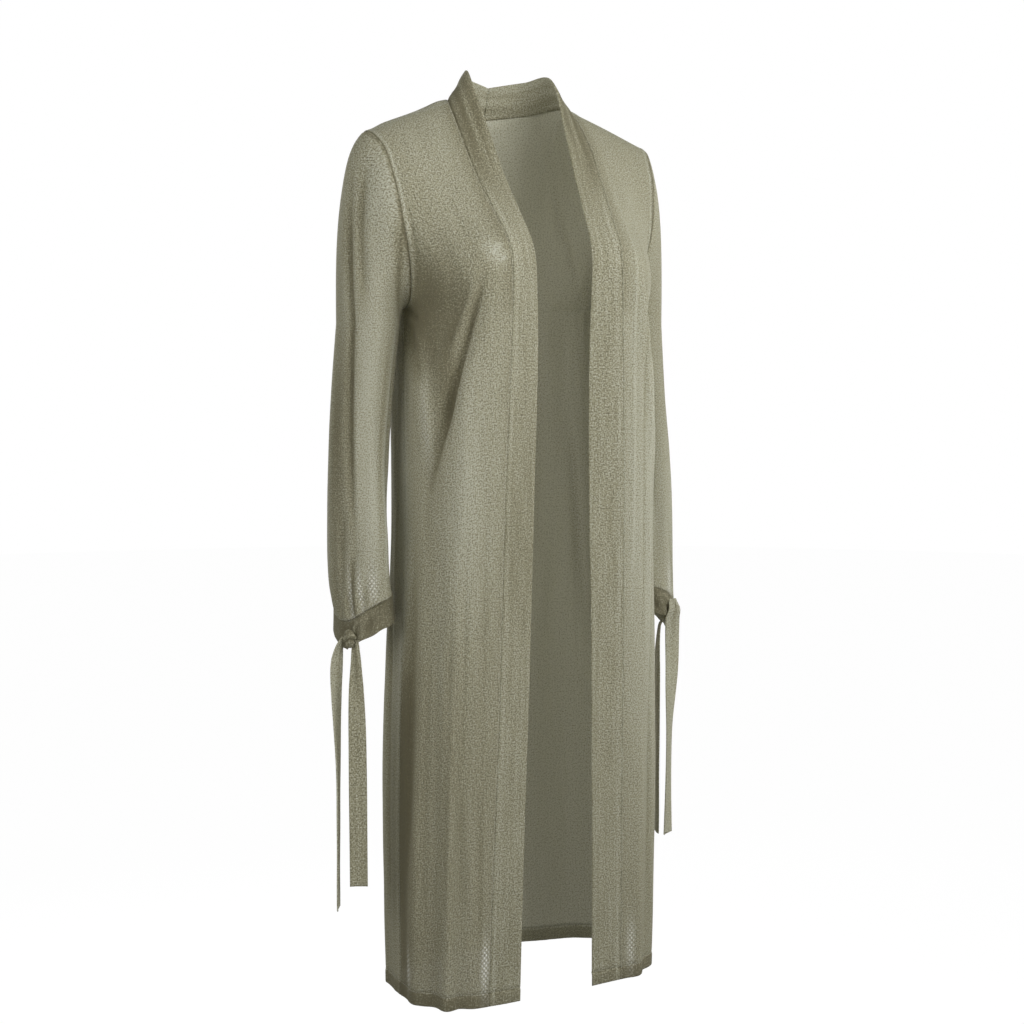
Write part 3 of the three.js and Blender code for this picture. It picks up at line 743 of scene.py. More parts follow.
def seam_tone(distance, groove, ridge):
    """The dark line of a seam and the paler ridge that is stitched beside it."""
    return ridge * bell(distance - 4.4, 1.7) - groove * bell(distance, 3.0)


def hem_tone(down):
    return HEM_TONE * smooth(down, HEM_LINE - 1, HEM_LINE + 1)


def hem_relief(down):
    """A stitched groove along the top of the turned-up hem, which stands a little proud."""
    return 0.5 * smooth(down, HEM_LINE, HEM_LINE + 1.5) - 0.7 * bell(down - HEM_LINE, 1.1)


# Shells of cloth. The inside is paler, because light from outside shines through the knit
INSIDE_TONE = 0.8


class Cloth:
    """A grid of the outer face of a piece of cloth, with what its wall and finish need."""

    def __init__(self, name, grid, outward, thickness=CLOTH, wraps=False):
        self.name = name
        self.grid = grid
        self.outward = outward
        self.wraps = wraps
        self.welded = []
        self.inside_tone = INSIDE_TONE
        shape = grid.shape[:2]
        self.thickness = np.broadcast_to(np.asarray(thickness, float), shape).copy()
        self.edge = np.full(shape, 99.0)
        self.doubled = np.zeros(shape)
        self.thin_with_painted_light = np.zeros(shape)
        self.tone = np.zeros(shape)
        self.u = distances(grid, 1)
        self.v = distances(grid, 0) - grid[:1, :, 2]
        self.girth = 0.0
        if wraps:
            self.u = np.broadcast_to(self.u.mean(axis=0), shape).copy()
            closing = np.linalg.norm(grid[:, 0] - grid[:, -1], axis=-1).mean()
            self.girth = self.u[0, -1] + closing

    def normals(self):
        normals = normals_of(self.grid, self.outward, self.wraps)
        for row, column, normal in self.welded:
            normals[row, column] = normal
        return normals

    def rim(self):
        """The rows and columns of the points along the cut edges."""
        rows, columns = np.indices(self.grid.shape[:2])
        on_rim = (rows == 0) | (rows == rows[-1, -1])
        if not self.wraps:
            on_rim |= (columns == 0) | (columns == columns[-1, -1])
        return rows[on_rim], columns[on_rim]

    def push(self, depth):
        """Moves the cloth out along its own normals."""
        self.grid = self.grid + self.normals() * np.asarray(depth)[..., None]

    def free_edge(self, distance):
        """Rounds the wall where it ends in a folded edge."""
        self.edge = np.minimum(self.edge, distance)

    def faces(self):
        rows, columns = self.grid.shape[:2]
        outer = np.arange(rows * columns).reshape(rows, columns)
        if self.wraps:
            outer = np.concatenate([outer, outer[:, :1]], axis=1)
        inner = outer + rows * columns
        corners = [outer[:-1, :-1], outer[1:, :-1], outer[1:, 1:], outer[:-1, 1:]]
        quads = [np.stack(corners, axis=-1).reshape(-1, 4)]
        corners = [inner[:-1, :-1], inner[:-1, 1:], inner[1:, 1:], inner[1:, :-1]]
        quads.append(np.stack(corners, axis=-1).reshape(-1, 4))
        rims = [(outer[0], inner[0]), (inner[-1], outer[-1])]
        if not self.wraps:
            rims += [(inner[:, 0], outer[:, 0]), (outer[:, -1], inner[:, -1])]
        for a, b in rims:
            quads.append(np.stack([a[:-1], a[1:], b[1:], b[:-1]], axis=-1))
        quads = np.concatenate(quads)
        return quads if self.outward > 0 else quads[:, ::-1]

    def mesh(self):
        normals = self.normals()
        half = self.thickness / 2
        short = np.maximum(half - self.edge, 0)
        inset = (half - np.sqrt(np.maximum(half ** 2 - short ** 2, 0)))[..., None]
        outer = self.grid - normals * np.minimum(inset, half[..., None] * 0.96)
        inner = self.grid - normals * (self.thickness[..., None] - np.minimum(
            inset, half[..., None] * 0.96))
        points = np.concatenate([outer.reshape(-1, 3), inner.reshape(-1, 3)]) * METRES
        quads = self.faces()
        mesh = bpy.data.meshes.new(self.name)
        mesh.from_pydata(points, [], quads)
        mesh.polygons.foreach_set("use_smooth", np.ones(len(quads), bool))
        for label in ("doubled", "thin_with_painted_light", "tone"):
            values = np.tile(getattr(self, label).ravel(), 2).astype(np.float32)
            if label == "tone":
                values[len(values) // 2:] += self.inside_tone
            mesh.attributes.new(label, "FLOAT", "POINT").data.foreach_set("value", values)
        self.lay_out(mesh, quads)
        mesh.update()
        return mesh

    def lay_out(self, mesh, quads):
        """Lays the cloth out flat, in millimetres, so that its knit runs with its grain."""
        u = np.tile(self.u.ravel(), 2)[quads]
        v = np.tile(self.v.ravel(), 2)[quads]
        if self.wraps:
            u = np.where(u.max(axis=1, keepdims=True) - u > self.girth / 2, u + self.girth, u)
        flat = np.stack([u, v], axis=-1).astype(np.float32)
        layer = mesh.uv_layers.new(name="cloth")
        layer.data.foreach_set("uv", flat.ravel())


def weld(cloths):
    """Turns the walls of sewn edges the same way, so that they meet right through."""
    rims = [cloth.rim() for cloth in cloths]
    places = [cloth.grid[rim] for cloth, rim in zip(cloths, rims)]
    normals = [cloth.normals()[rim] for cloth, rim in zip(cloths, rims)]
    for k, cloth in enumerate(cloths):
        others = [j for j in range(len(cloths)) if j != k]
        tree = KDTree(sum(len(places[j]) for j in others))
        facing = np.concatenate([normals[j] for j in others])
        for index, place in enumerate(np.concatenate([places[j] for j in others])):
            tree.insert(place, index)
        tree.balance()
        for row, column, place, normal in zip(*rims[k], places[k], normals[k]):
            found, index, distance = tree.find(place)
            if distance < WELD_REACH and facing[index] @ normal > 0.3:
                cloth.welded.append((row, column, unit(facing[index] + normal)))


def add_object(name, mesh, material):
    piece = bpy.data.objects.new(name, mesh)
    bpy.context.scene.collection.objects.link(piece)
    piece.data.materials.append(material)
    return piece


# Each panel

PANEL_T = crowded(PANEL_COLUMNS)
HALF_T = 1 - (1 - np.linspace(0, 1, PANEL_COLUMNS + 1)) ** 1.15
ROUND = np.linspace(0, 1, SLEEVE_COLUMNS + 1)[:-1]


def inset_seam(cloth, first=False, last=False, top=False, bottom=False):
    """Draws the sewn edges in by half the seam gap."""
    grid = cloth.grid
    half = SEAM_GAP / 2
    if first:
        grid[:, 0] += unit(grid[:, 1] - grid[:, 0]) * half
    if last:
        grid[:, -1] += unit(grid[:, -2] - grid[:, -1]) * half
    if top:
        grid[0] += unit(grid[1] - grid[0]) * half
    if bottom:
        grid[-1] += unit(grid[-2] - grid[-1]) * half


def edge_distances(grid):
    """Distances from the first and last column and the top row of a panel."""
    across = distances(grid, 1)
    return across, across[:, -1:] - across, distances(grid, 0)


def back_rise(across, top):
    """How far the back stands up behind the shoulder seams."""
    aside = np.abs(across - 0.5)
    along_seam = smooth(aside, 0.15, 0.25) * (1 - smooth(aside, 0.42, 0.5))
    height = NECK_RISE * bell(aside - 0.19, 0.085) + SHOULDER_RISE * along_seam
    return height * smooth(top, 0, 8) * (1 - smooth(top, 12, 70))


# A panel's tone: painted shade in its hollows and painted light on its ridges, painted light and
# shade by place, painted lines of shade and highlight, its seam lines, a deeper line beside the
# band and the deeper turned-up hem
def panel_tone(name, relief, down, across, breadth, edges):
    first, last, top = edges
    in_yoke = IN_YOKE[:, None]
    outer_seam = np.minimum(first, last) if name == "back" else last
    tone = PAINTED_RELIEF_SHADE * relief + painted(PAINTED_LIGHT_AND_SHADE[name], down, across)
    tone += crease_depth(LIGHT_AND_SHADE_LINES[name], down, across, breadth)
    armhole_line = seam_tone(outer_seam, 1.0, 0.7)
    side_line = seam_tone(outer_seam, 0.3, 0.3)
    tone += np.where(in_yoke, armhole_line, side_line)
    tone += seam_tone(top, 0.6, 0.8) - hem_tone(down)
    if name != "back":
        beside_band = np.where(in_yoke, 0.5, 0.2) * bell(first, 4)
        tone -= beside_band + 0.25 * bell(first - 7, 4) * in_yoke
    return tone


def body_panel(name, grid, outward, across, breadth, seed):
    cloth = Cloth(name, grid, outward)
    down = -grid[..., 2]
    cloth.push(fold_depth(FOLDS[name], down, across))
    first, last, top = edge_distances(cloth.grid)
    if name == "back":
        cloth.grid[..., 2] += back_rise(across, top)
    quiet = smooth(np.minimum(first, last), 4, 30) * smooth(top, 4, 40)
    relief = crease_depth(CREASES[name], down, across, breadth)
    relief = relief * smooth(np.minimum(first, last), 1, 12)
    relief += quiet * waves(cloth.u, down, seed, 0.7, 42, 520)
    relief += quiet * waves(cloth.u, down, seed + 1, 0.22, 15, 160)
    first_share = 1.0 if name == "back" else 0.2
    relief += seam_relief(first, first_share) + seam_relief(last, 0.8) + seam_relief(top)
    relief += hem_relief(down)
    cloth.push(relief)
    cloth.tone = panel_tone(name, relief, down, across, breadth, (first, last, top))
    cloth.thin_with_painted_light = painted(THIN_WITH_PAINTED_LIGHT[name], down, across)
    cloth.thickness = mix(CLOTH, DOUBLED, smooth(down, HEM_LINE - 0.5, HEM_LINE + 1))
    cloth.doubled = smooth(down, HEM_LINE - 0.6, HEM_LINE + 0.6)
    cloth.free_edge(LENGTH - ROW_DOWN[:, None] + 99 * IN_YOKE[:, None])
    inset_seam(cloth, first=True, last=True, top=True)
    return cloth


def front_panel(side):
    name = "front_right" if side < 0 else "front_left"
    across = np.broadcast_to(PANEL_T, (len(ROW_YOKE), len(PANEL_T)))
    return body_panel(name, front_grid(side, PANEL_T), side, across, FRONT_BREADTH, 11 + side)


def back_panel():
    grid = back_grid(HALF_T)
    across = np.broadcast_to(np.r_[0.5 - 0.5 * HALF_T[:0:-1], 0.5 + 0.5 * HALF_T], grid.shape[:2])
    return body_panel("back", grid, -1, across, BACK_BREADTH, 31)


# The band is puckered round the neck, in soft strands, and hangs flat down the fronts
BAND_PUCKER = 0.5


# Round the neck the band is deeper, with painted shade and light across its puckered strands and a
# painted shade line along its fold; down the fronts it is paler beside its seam, and the right band
# is deeper about its middle
def band_shade_and_tone(side, runs, t, first):
    neck = 1 - smooth(runs, 130, 310)
    strands = np.sin(TURN * (2.3 * t + 0.16 * np.sin(runs / 29) + 0.1))
    fold_line = bell(t - 0.36 - 0.05 * np.sin(runs / 40), 0.07)
    tone = NECK_BAND_TONE + 0.35 * bell(first - 3, 4) + 0.5 * fold_line - 0.28 * strands
    tone = neck * (seam_tone(first, 0.4, 0.0) - tone)
    tone = tone + 0.4 * bell(first - 5.5, 1.8) * (1 - neck)
    return tone - 0.25 * (side < 0) * bell(runs - 650, 120)


def band(side):
    name = "band_right" if side < 0 else "band_left"
    neck = np.linspace(0, NECK_RUN, NECK_ROWS + 1)[:-1]
    runs = np.concatenate([neck, ROW_RUN])[:, None]
    t = np.concatenate([crowded(BAND_COLUMNS - 3, 0.4)[:-1], [0.985, 0.994, 0.998, 1]])
    seam = band_seam(side, runs[:, 0])
    edge = band_edge(side, runs[:, 0])
    grid = mix(seam[:, None], edge[:, None], t[None, :, None])
    cloth = Cloth(name, grid, -side, DOUBLED)
    down = -grid[..., 2]
    first = distances(grid, 1)
    last = first[:, -1:] - first
    top = distances(grid, 0)
    cloth.v = np.broadcast_to(runs, grid.shape[:2]).copy()
    t = t[None]
    pucker = 1 - smooth(runs, 60, 300)
    relief = BAND_PUCKER * pucker * np.sin(TURN * (1.6 * t + 0.12 * np.sin(runs / 31)))
    relief += 0.5 * (1 - pucker) * np.sin(np.pi * t) * waves(t * 0, runs, 71 + side, 1, 1e9, 130)
    relief *= smooth(first, 0, 6) * smooth(last, 0, 6)
    relief += waves(cloth.u, cloth.v, 81 + side, 0.12, 7, 240) * smooth(last, 0, 4)
    relief += seam_relief(first, 0.4) - 0.6 * bell(top, 1.5)
    relief += hem_relief(down)
    cloth.push(relief)
    # Painted shade in the band's hollows and painted light on its ridges, with the band's painted
    # shade round the neck
    cloth.tone = PAINTED_RELIEF_SHADE * relief + band_shade_and_tone(side, runs, t, first) - hem_tone(down)
    cloth.tone += waves(cloth.u, cloth.v, 181 + side, 0.12, 6, 300)
    cloth.free_edge(last)
    cloth.free_edge(HEM_RUN - runs)
    inset_seam(cloth, first=True, top=True)
    return cloth


def sleeve(side):
    name = "sleeve_right" if side < 0 else "sleeve_left"
    grid = sleeve_grid(side, ROUND)
    cloth = Cloth(name, grid, -side, wraps=True)
    rows = np.arange(len(grid))[:, None] / (CAP_ROWS + SLEEVE_ROWS)
    cap_share = CAP_ROWS / (CAP_ROWS + SLEEVE_ROWS)
    down = -grid[..., 2]
    around = ROUND[None]
    top = distances(grid, 0)
    bottom = top[-1:] - top
    ends = smooth(rows, 0, cap_share) * mix(0.6, 1, smooth(bottom, 0, 30))
    cloth.push(fold_depth(FOLDS[name], down, around, wraps=True) * ends)
    relief = crease_depth(CREASES[name], down, around, cloth.girth, wraps=True)
    relief = relief * smooth(top, 4, 30) * smooth(bottom, 0, 14)
    quiet = smooth(top, 4, 60) * smooth(bottom, 4, 60)
    relief += quiet * round_waves(around, down, 51 + side, 0.6, 7, 420)
    near = near_gathers(around) ** 3
    gather = near * bell(bottom, 26)
    relief += gather * round_waves(around, down, 61 + side, 1.3, 17, 900)
    relief += seam_relief(top) + seam_relief(bottom)
    underarm = np.abs(around - 0.5) * cloth.girth
    relief += seam_relief(underarm, 0.6) * smooth(top, 0, 5)
    cloth.push(relief)
    # Painted shade in the hollows and painted light on the ridges, painted light and shade by
    # place, and painted lines of shade and highlight
    cloth.tone = PAINTED_RELIEF_SHADE * relief + painted(PAINTED_LIGHT_AND_SHADE[name], down, around, wraps=True)
    cloth.tone += crease_depth(LIGHT_AND_SHADE_LINES[name], down, around, cloth.girth, wraps=True)
    cloth.tone += seam_tone(top, 1.0, 0.0) + seam_tone(bottom, 0.4, 0.2)
    cloth.thin_with_painted_light = painted(THIN_WITH_PAINTED_LIGHT[name], down, around, wraps=True)
    inset_seam(cloth, top=True, bottom=True)
    return cloth


def round_waves(around, down, seed, height, count, reach):
    """Soft uneven waves down a tube, which meet where it closes."""
    random = np.random.default_rng(seed)
    total = np.zeros(np.broadcast(around, down).shape)
    for k in range(max(count - 3, 2), count + 3):
        turn = TURN / (reach * random.uniform(0.7, 1.6)) * random.choice([-1, 1])
        phase = random.uniform(0, TURN)
        total += random.uniform(0.4, 1) * np.sin(TURN * k * around + turn * down + phase)
    return height * total / 2.4


# A strap lies over each cuff beside its knot: its slant, how proud it stands and how far it
# goes, and the hollow and dimple pressed into it
STRAP_SLANT = 0.03
STRAP_HEIGHT = 2.8
STRAP_REACH = 34
HOLLOW_DEPTH = 2.4
DIMPLE_DEPTH = 1.8
EDGE_WAVE = {-1: 1.1, 1: 0.4}       # how uneven the cuff's free edge is


def cuff(side):
    name = "cuff_right" if side < 0 else "cuff_left"
    top = sleeve_grid(side, ROUND)[-1]
    grid = cuff_grid(top, ROUND)
    cloth = Cloth(name, grid, -side, DOUBLED, wraps=True)
    cloth.inside_tone = 0.0
    first = distances(grid, 0)
    around = ROUND[None]
    near = near_gathers(around) ** 3
    relief = near * smooth(first, 0, 10) * round_waves(around, 0, 91 + side, 1.5, 15, 1e9)
    relief += (1 - near) * smooth(first, 2, 20) * round_waves(around, 0, 95 + side, 1.1, 4, 1e9)
    relief += seam_relief(first, 0.4)
    way = cuff_ways()[:, None]
    from_strap = around - KNOT_ROUND[side] - mix(STRAP_SLANT, -STRAP_SLANT, way)
    from_strap = (from_strap - np.round(from_strap)) * cloth.girth
    clear = smooth(first, 1, 9)
    strap_edge_highlight = bell(from_strap - 0.8, 1) * clear
    behind = bell(from_strap + 1.8, 1.5) * clear
    hollow = bell(from_strap - 8, 3.2) * smooth(way, 0.25, 0.6)
    dimple = bell(from_strap - 27, 4.5) * bell(way - 0.62, 0.2)
    strap = smooth(from_strap, -1.2, 0.8) * (1 - smooth(from_strap, 2, STRAP_REACH))
    relief += STRAP_HEIGHT * strap * clear
    relief += bell(from_strap - 17, 4) * way - HOLLOW_DEPTH * hollow - DIMPLE_DEPTH * dimple
    cloth.grid[..., 2] += way * EDGE_WAVE[side] * round_waves(around, 0, 97 + side, 1, 8, 1e9)
    cloth.push(relief)
    # Painted highlight on the strap's edge, painted shadow behind it, and painted shade under the
    # strap, in its hollow and dimple and in the cuff's hollows
    shade_under_strap = smooth(-from_strap, 0, 2) * (1 - smooth(-from_strap, 14, 26)) * clear
    cloth.tone = (PAINTED_RELIEF_SHADE * relief - CUFF_TONE + 0.8 * strap_edge_highlight - behind - 0.45 * shade_under_strap
                  - 0.6 * hollow - 0.5 * dimple)
    cloth.free_edge(first[-1:] - first)
    inset_seam(cloth, top=True)
    return cloth


# Ties

def knot_middle(side, cuff_base):
    """Where the knot sits on its cuff, and the way it faces."""
    index = int(round(len(ROUND) * round(20 * KNOT_ROUND[side]) / 20))
    upper = mix(cuff_base[0], cuff_base[-1], 0.6)[index]
    lower = cuff_base[-1][index]
    coarse = cuff_base[:, ::len(ROUND) // 20]
    outward = normals_of(coarse, -side, True)[-1][index * 20 // len(ROUND)]
    outward = unit(outward * [1, 1, 0])
    return mix(upper, lower, 0.2) + outward * KNOT_SIZE[side][0], outward


def tie(name, side, middle):
    stations = TIES[name]
    start, end = stations["fall"][0], stations["fall"][-1]
    t = np.linspace(0, 1, TIE_ROWS + 1)
    t = np.unique(np.concatenate([t, [0.9985, 0.9995]]))
    fall = start + (end - start) * t ** 1.4
    out, y, width, facing = along(stations, fall, "out", "y", "width", "facing")
    centre = middle + xyz(side * out, y, -fall)
    facing = np.radians(facing)
    half = xyz(np.cos(facing), np.sin(facing), 0) * (width / 2)[:, None]
    bow = xyz(-np.sin(facing), np.cos(facing), 0)
    place = 2 * crowded(TIE_COLUMNS, 0.8) - 1
    folded = 1 - smooth(fall - start, 10, 90)
    crease = (0.5 + 1.6 * folded)[:, None] * bell(place - 0.2, 0.3)
    ripple = TIE_BOW * (1 - place ** 2)[None] - crease
    sway = waves(place[None] * 6, fall[:, None], sum(map(ord, name)), 0.35, 30, 120)
    grid = (centre[:, None] + half[:, None] * place[None, :, None]
            + bow[:, None] * (ripple + sway)[..., None])
    cloth = Cloth(name, grid, 1, TIE_CLOTH)
    cloth.inside_tone = 0.0
    across = distances(grid, 1)
    cloth.free_edge(np.minimum(across, across[:, -1:] - across))
    cloth.free_edge(np.minimum(fall - start, end - fall)[:, None])
    cloth.u = cloth.u + width.max()
    # Painted light and shade for each tie end, and painted shade along the crease of its folded top
    cloth.tone = (cloth.tone - TIE_LIGHT_AND_SHADE[name]
                  - 0.8 * folded[:, None] * bell(place - 0.2, 0.22)[None])
    return cloth


def knot(side, middle, outward):
    """A half knot: one strap lies over another, both drawn tight and puckered."""
    depth, width, height = KNOT_SIZE[side]
    across = np.array([-outward[1], outward[0], 0])
    up = np.array([0, 0, 1.0])
    turns = np.linspace(0, 1, 73)[:-1][None]
    rings = np.linspace(0.02, 0.98, 40)[:, None]
    angle = TURN * turns
    tilt = 0.45 * np.sin(angle + 0.6)
    level = np.cos(np.pi * rings)
    girth = np.sin(np.pi * rings) ** 0.8
    strap = bell(level - tilt, 0.34)
    groove = bell(np.abs(level - tilt) - 0.42, 0.12)
    pleats = 0.045 * np.sin(angle * 5 + 7 * level) * (1 - strap) + 0.03 * np.sin(
        9 * (level - tilt) + 2) * strap
    radius = girth * (0.82 + 0.2 * strap - 0.24 * groove + pleats)
    grid = (middle + outward * (depth * radius * np.cos(angle))[..., None]
            + across * (width * radius * np.sin(angle))[..., None]
            + up * (height * level * np.ones_like(angle))[..., None])
    # The knot's tone is painted light and shade on its pleats and painted shade in the groove
    # between its straps, deeper overall by KNOT_TONE
    return grid, 4 * pleats - 0.9 * groove - KNOT_TONE


def ball_mesh(name, grid, tone):
    rows, columns = grid.shape[:2]
    index = np.arange(rows * columns).reshape(rows, columns)
    index = np.concatenate([index, index[:, :1]], axis=1)
    corners = [index[:-1, :-1], index[1:, :-1], index[1:, 1:], index[:-1, 1:]]
    quads = np.stack(corners, axis=-1).reshape(-1, 4).tolist()
    poles = [rows * columns, rows * columns + 1]
    for k in range(columns):
        quads.append([poles[0], index[0, k], index[0, k + 1]])
        quads.append([poles[1], index[-1, k + 1], index[-1, k]])
    ends = np.array([grid[0].mean(axis=0), grid[-1].mean(axis=0)])
    points = np.concatenate([grid.reshape(-1, 3), ends]) * METRES
    mesh = bpy.data.meshes.new(name)
    mesh.from_pydata(points, [], quads)
    mesh.polygons.foreach_set("use_smooth", np.ones(len(mesh.polygons), bool))
    shades = np.append(tone.ravel(), (tone[0].mean(), tone[-1].mean())).astype(np.float32)
    mesh.attributes.new("tone", "FLOAT", "POINT").data.foreach_set("value", shades)
    u = np.concatenate([np.tile(np.linspace(0, 50, columns), rows), [0, 0]])
    v = np.concatenate([np.repeat(np.linspace(0, 24, rows), columns), [0, 24]])
    layer = mesh.uv_layers.new(name="cloth")
    loops = np.zeros(len(mesh.loops), np.int32)
    mesh.loops.foreach_get("vertex_index", loops)
    layer.data.foreach_set("uv", np.stack([u[loops], v[loops]], axis=-1).astype(np.float32).ravel())
    mesh.update()
    return mesh


# Stitches

PITCH = 3.1             # from one stitch to the next
STITCH = 2.3            # how long each one shows
STITCH_LIFT = 0.05
THREAD_RADIUS = 0.26
STITCH_SIDES = 6
STITCH_RINGS = 4


def stitches(name, rows, radius, material):
    """Small raised stitches as one mesh: each row is a start, an end and a normal."""
    start, end, normal = (np.array(part, float) for part in zip(*rows))
    run = end - start
    side = unit(np.cross(normal, run))
    ways = np.linspace(0.02, 0.98, STITCH_RINGS)
    swell = np.sin(np.pi * ways) ** 0.6
    angle = np.linspace(0, TURN, STITCH_SIDES + 1)[:-1]
    ring = np.cos(angle)[:, None, None] * side + np.sin(angle)[:, None, None] * normal
    points = (start[:, None, None] + run[:, None, None] * ways[None, :, None, None]
              + (ring.transpose(1, 0, 2)[:, None] * radius * swell[None, :, None, None])
              + normal[:, None, None] * (radius * 0.35 * swell)[None, :, None, None])
    count = len(start)
    index = np.arange(count * STITCH_RINGS * STITCH_SIDES)
    index = index.reshape(count, STITCH_RINGS, STITCH_SIDES)
    index = np.concatenate([index, index[:, :, :1]], axis=2)
    corners = [index[:, :-1, :-1], index[:, :-1, 1:], index[:, 1:, 1:], index[:, 1:, :-1]]
    faces = np.stack(corners, axis=-1).reshape(-1, 4).tolist()
    faces += index[:, 0, :-1][:, ::-1].tolist() + index[:, -1, :-1].tolist()
    mesh = bpy.data.meshes.new(name)
    mesh.from_pydata(points.reshape(-1, 3) * METRES, [], faces)
    mesh.polygons.foreach_set("use_smooth", np.ones(len(mesh.polygons), bool))
    mesh.update()
    return add_object(name, mesh, material)


def stitch_line(points, normals):
    """Stitches at an even pitch along a line of points."""
    steps = np.r_[0, np.cumsum(np.linalg.norm(np.diff(points, axis=0), axis=1))]
    starts = np.arange(PITCH / 2, steps[-1] - STITCH, PITCH)

    def at(values, place):
        return np.stack([np.interp(place, steps, values[:, k]) for k in range(3)], axis=-1)

    normal = unit(at(normals, starts))
    start = at(points, starts) + normal * STITCH_LIFT
    end = at(points, starts + STITCH) + normal * STITCH_LIFT
    return list(zip(start, end, normal))


# Shading

class Wire:
    """A socket that can be added, multiplied and so on: each sign is a Math node."""

    def __init__(self, look, socket):
        self.look = look
        self.socket = socket

    def maths(self, operation, *values):
        return self.look.node("ShaderNodeMath", {"operation": operation}, dict(enumerate(values)))

    def __add__(self, other):
        return self.maths("ADD", self, other)

    __radd__ = __add__

    def __sub__(self, other):
        return self.maths("SUBTRACT", self, other)

    def __rsub__(self, other):
        return self.maths("SUBTRACT", other, self)

    def __mul__(self, other):
        return self.maths("MULTIPLY", self, other)

    __rmul__ = __mul__

    def __truediv__(self, other):
        return self.maths("DIVIDE", self, other)

    def cos(self):
        return self.maths("COSINE", self)

    def fraction(self):
        return self.maths("FRACT", self)

    def absolute(self):
        return self.maths("ABSOLUTE", self)

    def clamped(self):
        return self.look.node("ShaderNodeClamp", {}, {"Value": self})


class Look:
    """A material and the nodes that its expressions add to it."""

    def __init__(self, name):
        self.material = bpy.data.materials.new(name)
        self.material.use_nodes = True
        self.tree = self.material.node_tree
        self.tree.nodes.clear()

    def node(self, kind, settings, inputs, output=0):
        made = self.tree.nodes.new(kind)
        for name, value in settings.items():
            setattr(made, name, value)
        for name, value in inputs.items():
            socket = made.inputs[name]
            if isinstance(value, Wire):
                self.tree.links.new(value.socket, socket)
            else:
                socket.default_value = value
        return Wire(self, None if output is None else made.outputs[output])

    def cloth_place(self):
        """Across and down the laid-out cloth, in millimetres."""
        place = self.node("ShaderNodeUVMap", {"uv_map": "cloth"}, {})
        made = self.tree.nodes.new("ShaderNodeSeparateXYZ")
        self.tree.links.new(place.socket, made.inputs[0])
        return Wire(self, made.outputs[0]), Wire(self, made.outputs[1])

    def vector(self, x, y, z=0.0):
        return self.node("ShaderNodeCombineXYZ", {}, {0: x, 1: y, 2: z})

    def noise(self, x, y, detail=2.0, z=0.0):
        """Smooth noise, about 0 to 1, in steps of one unit of x and y."""
        inputs = {"Vector": self.vector(x, y, z), "Scale": 1.0, "Detail": detail}
        return self.node("ShaderNodeTexNoise", {}, inputs)

    def attribute(self, name):
        return self.node("ShaderNodeAttribute", {"attribute_name": name}, {}, "Fac")

    def surface(self, shader):
        self.node("ShaderNodeOutputMaterial", {}, {"Surface": shader}, None)

    def blend(self, factor, a, b):
        settings = {"data_type": "RGBA", "blend_type": "MIX"}
        return self.node("ShaderNodeMix", settings, {"Factor": factor, "A": a, "B": b}, "Result")


# The width and height of a loop in millimetres
WALE = 2.1
COURSE = 1.9
# The spacing of the holes of the net, across and along, that is painted pale as light seen through
# where the knit is thin
NET_WIDE = 5.2
NET_LONG = 6.2


def rgba(red, green, blue):
    return (red, green, blue, 1.0)


RUSSET = rgba(0.240, 0.195, 0.142)
SAGE_DEEP = rgba(0.115, 0.104, 0.064)
SAGE = rgba(0.298, 0.285, 0.198)
SAGE_PALE = rgba(0.488, 0.492, 0.408)
SPECK = rgba(0.060, 0.055, 0.034)
# Painted light: the pale colour of the net where light is seen through the knit
PAINTED_LIGHT_THROUGH = rgba(0.86, 0.87, 0.82)
THREAD = rgba(0.44, 0.43, 0.33)


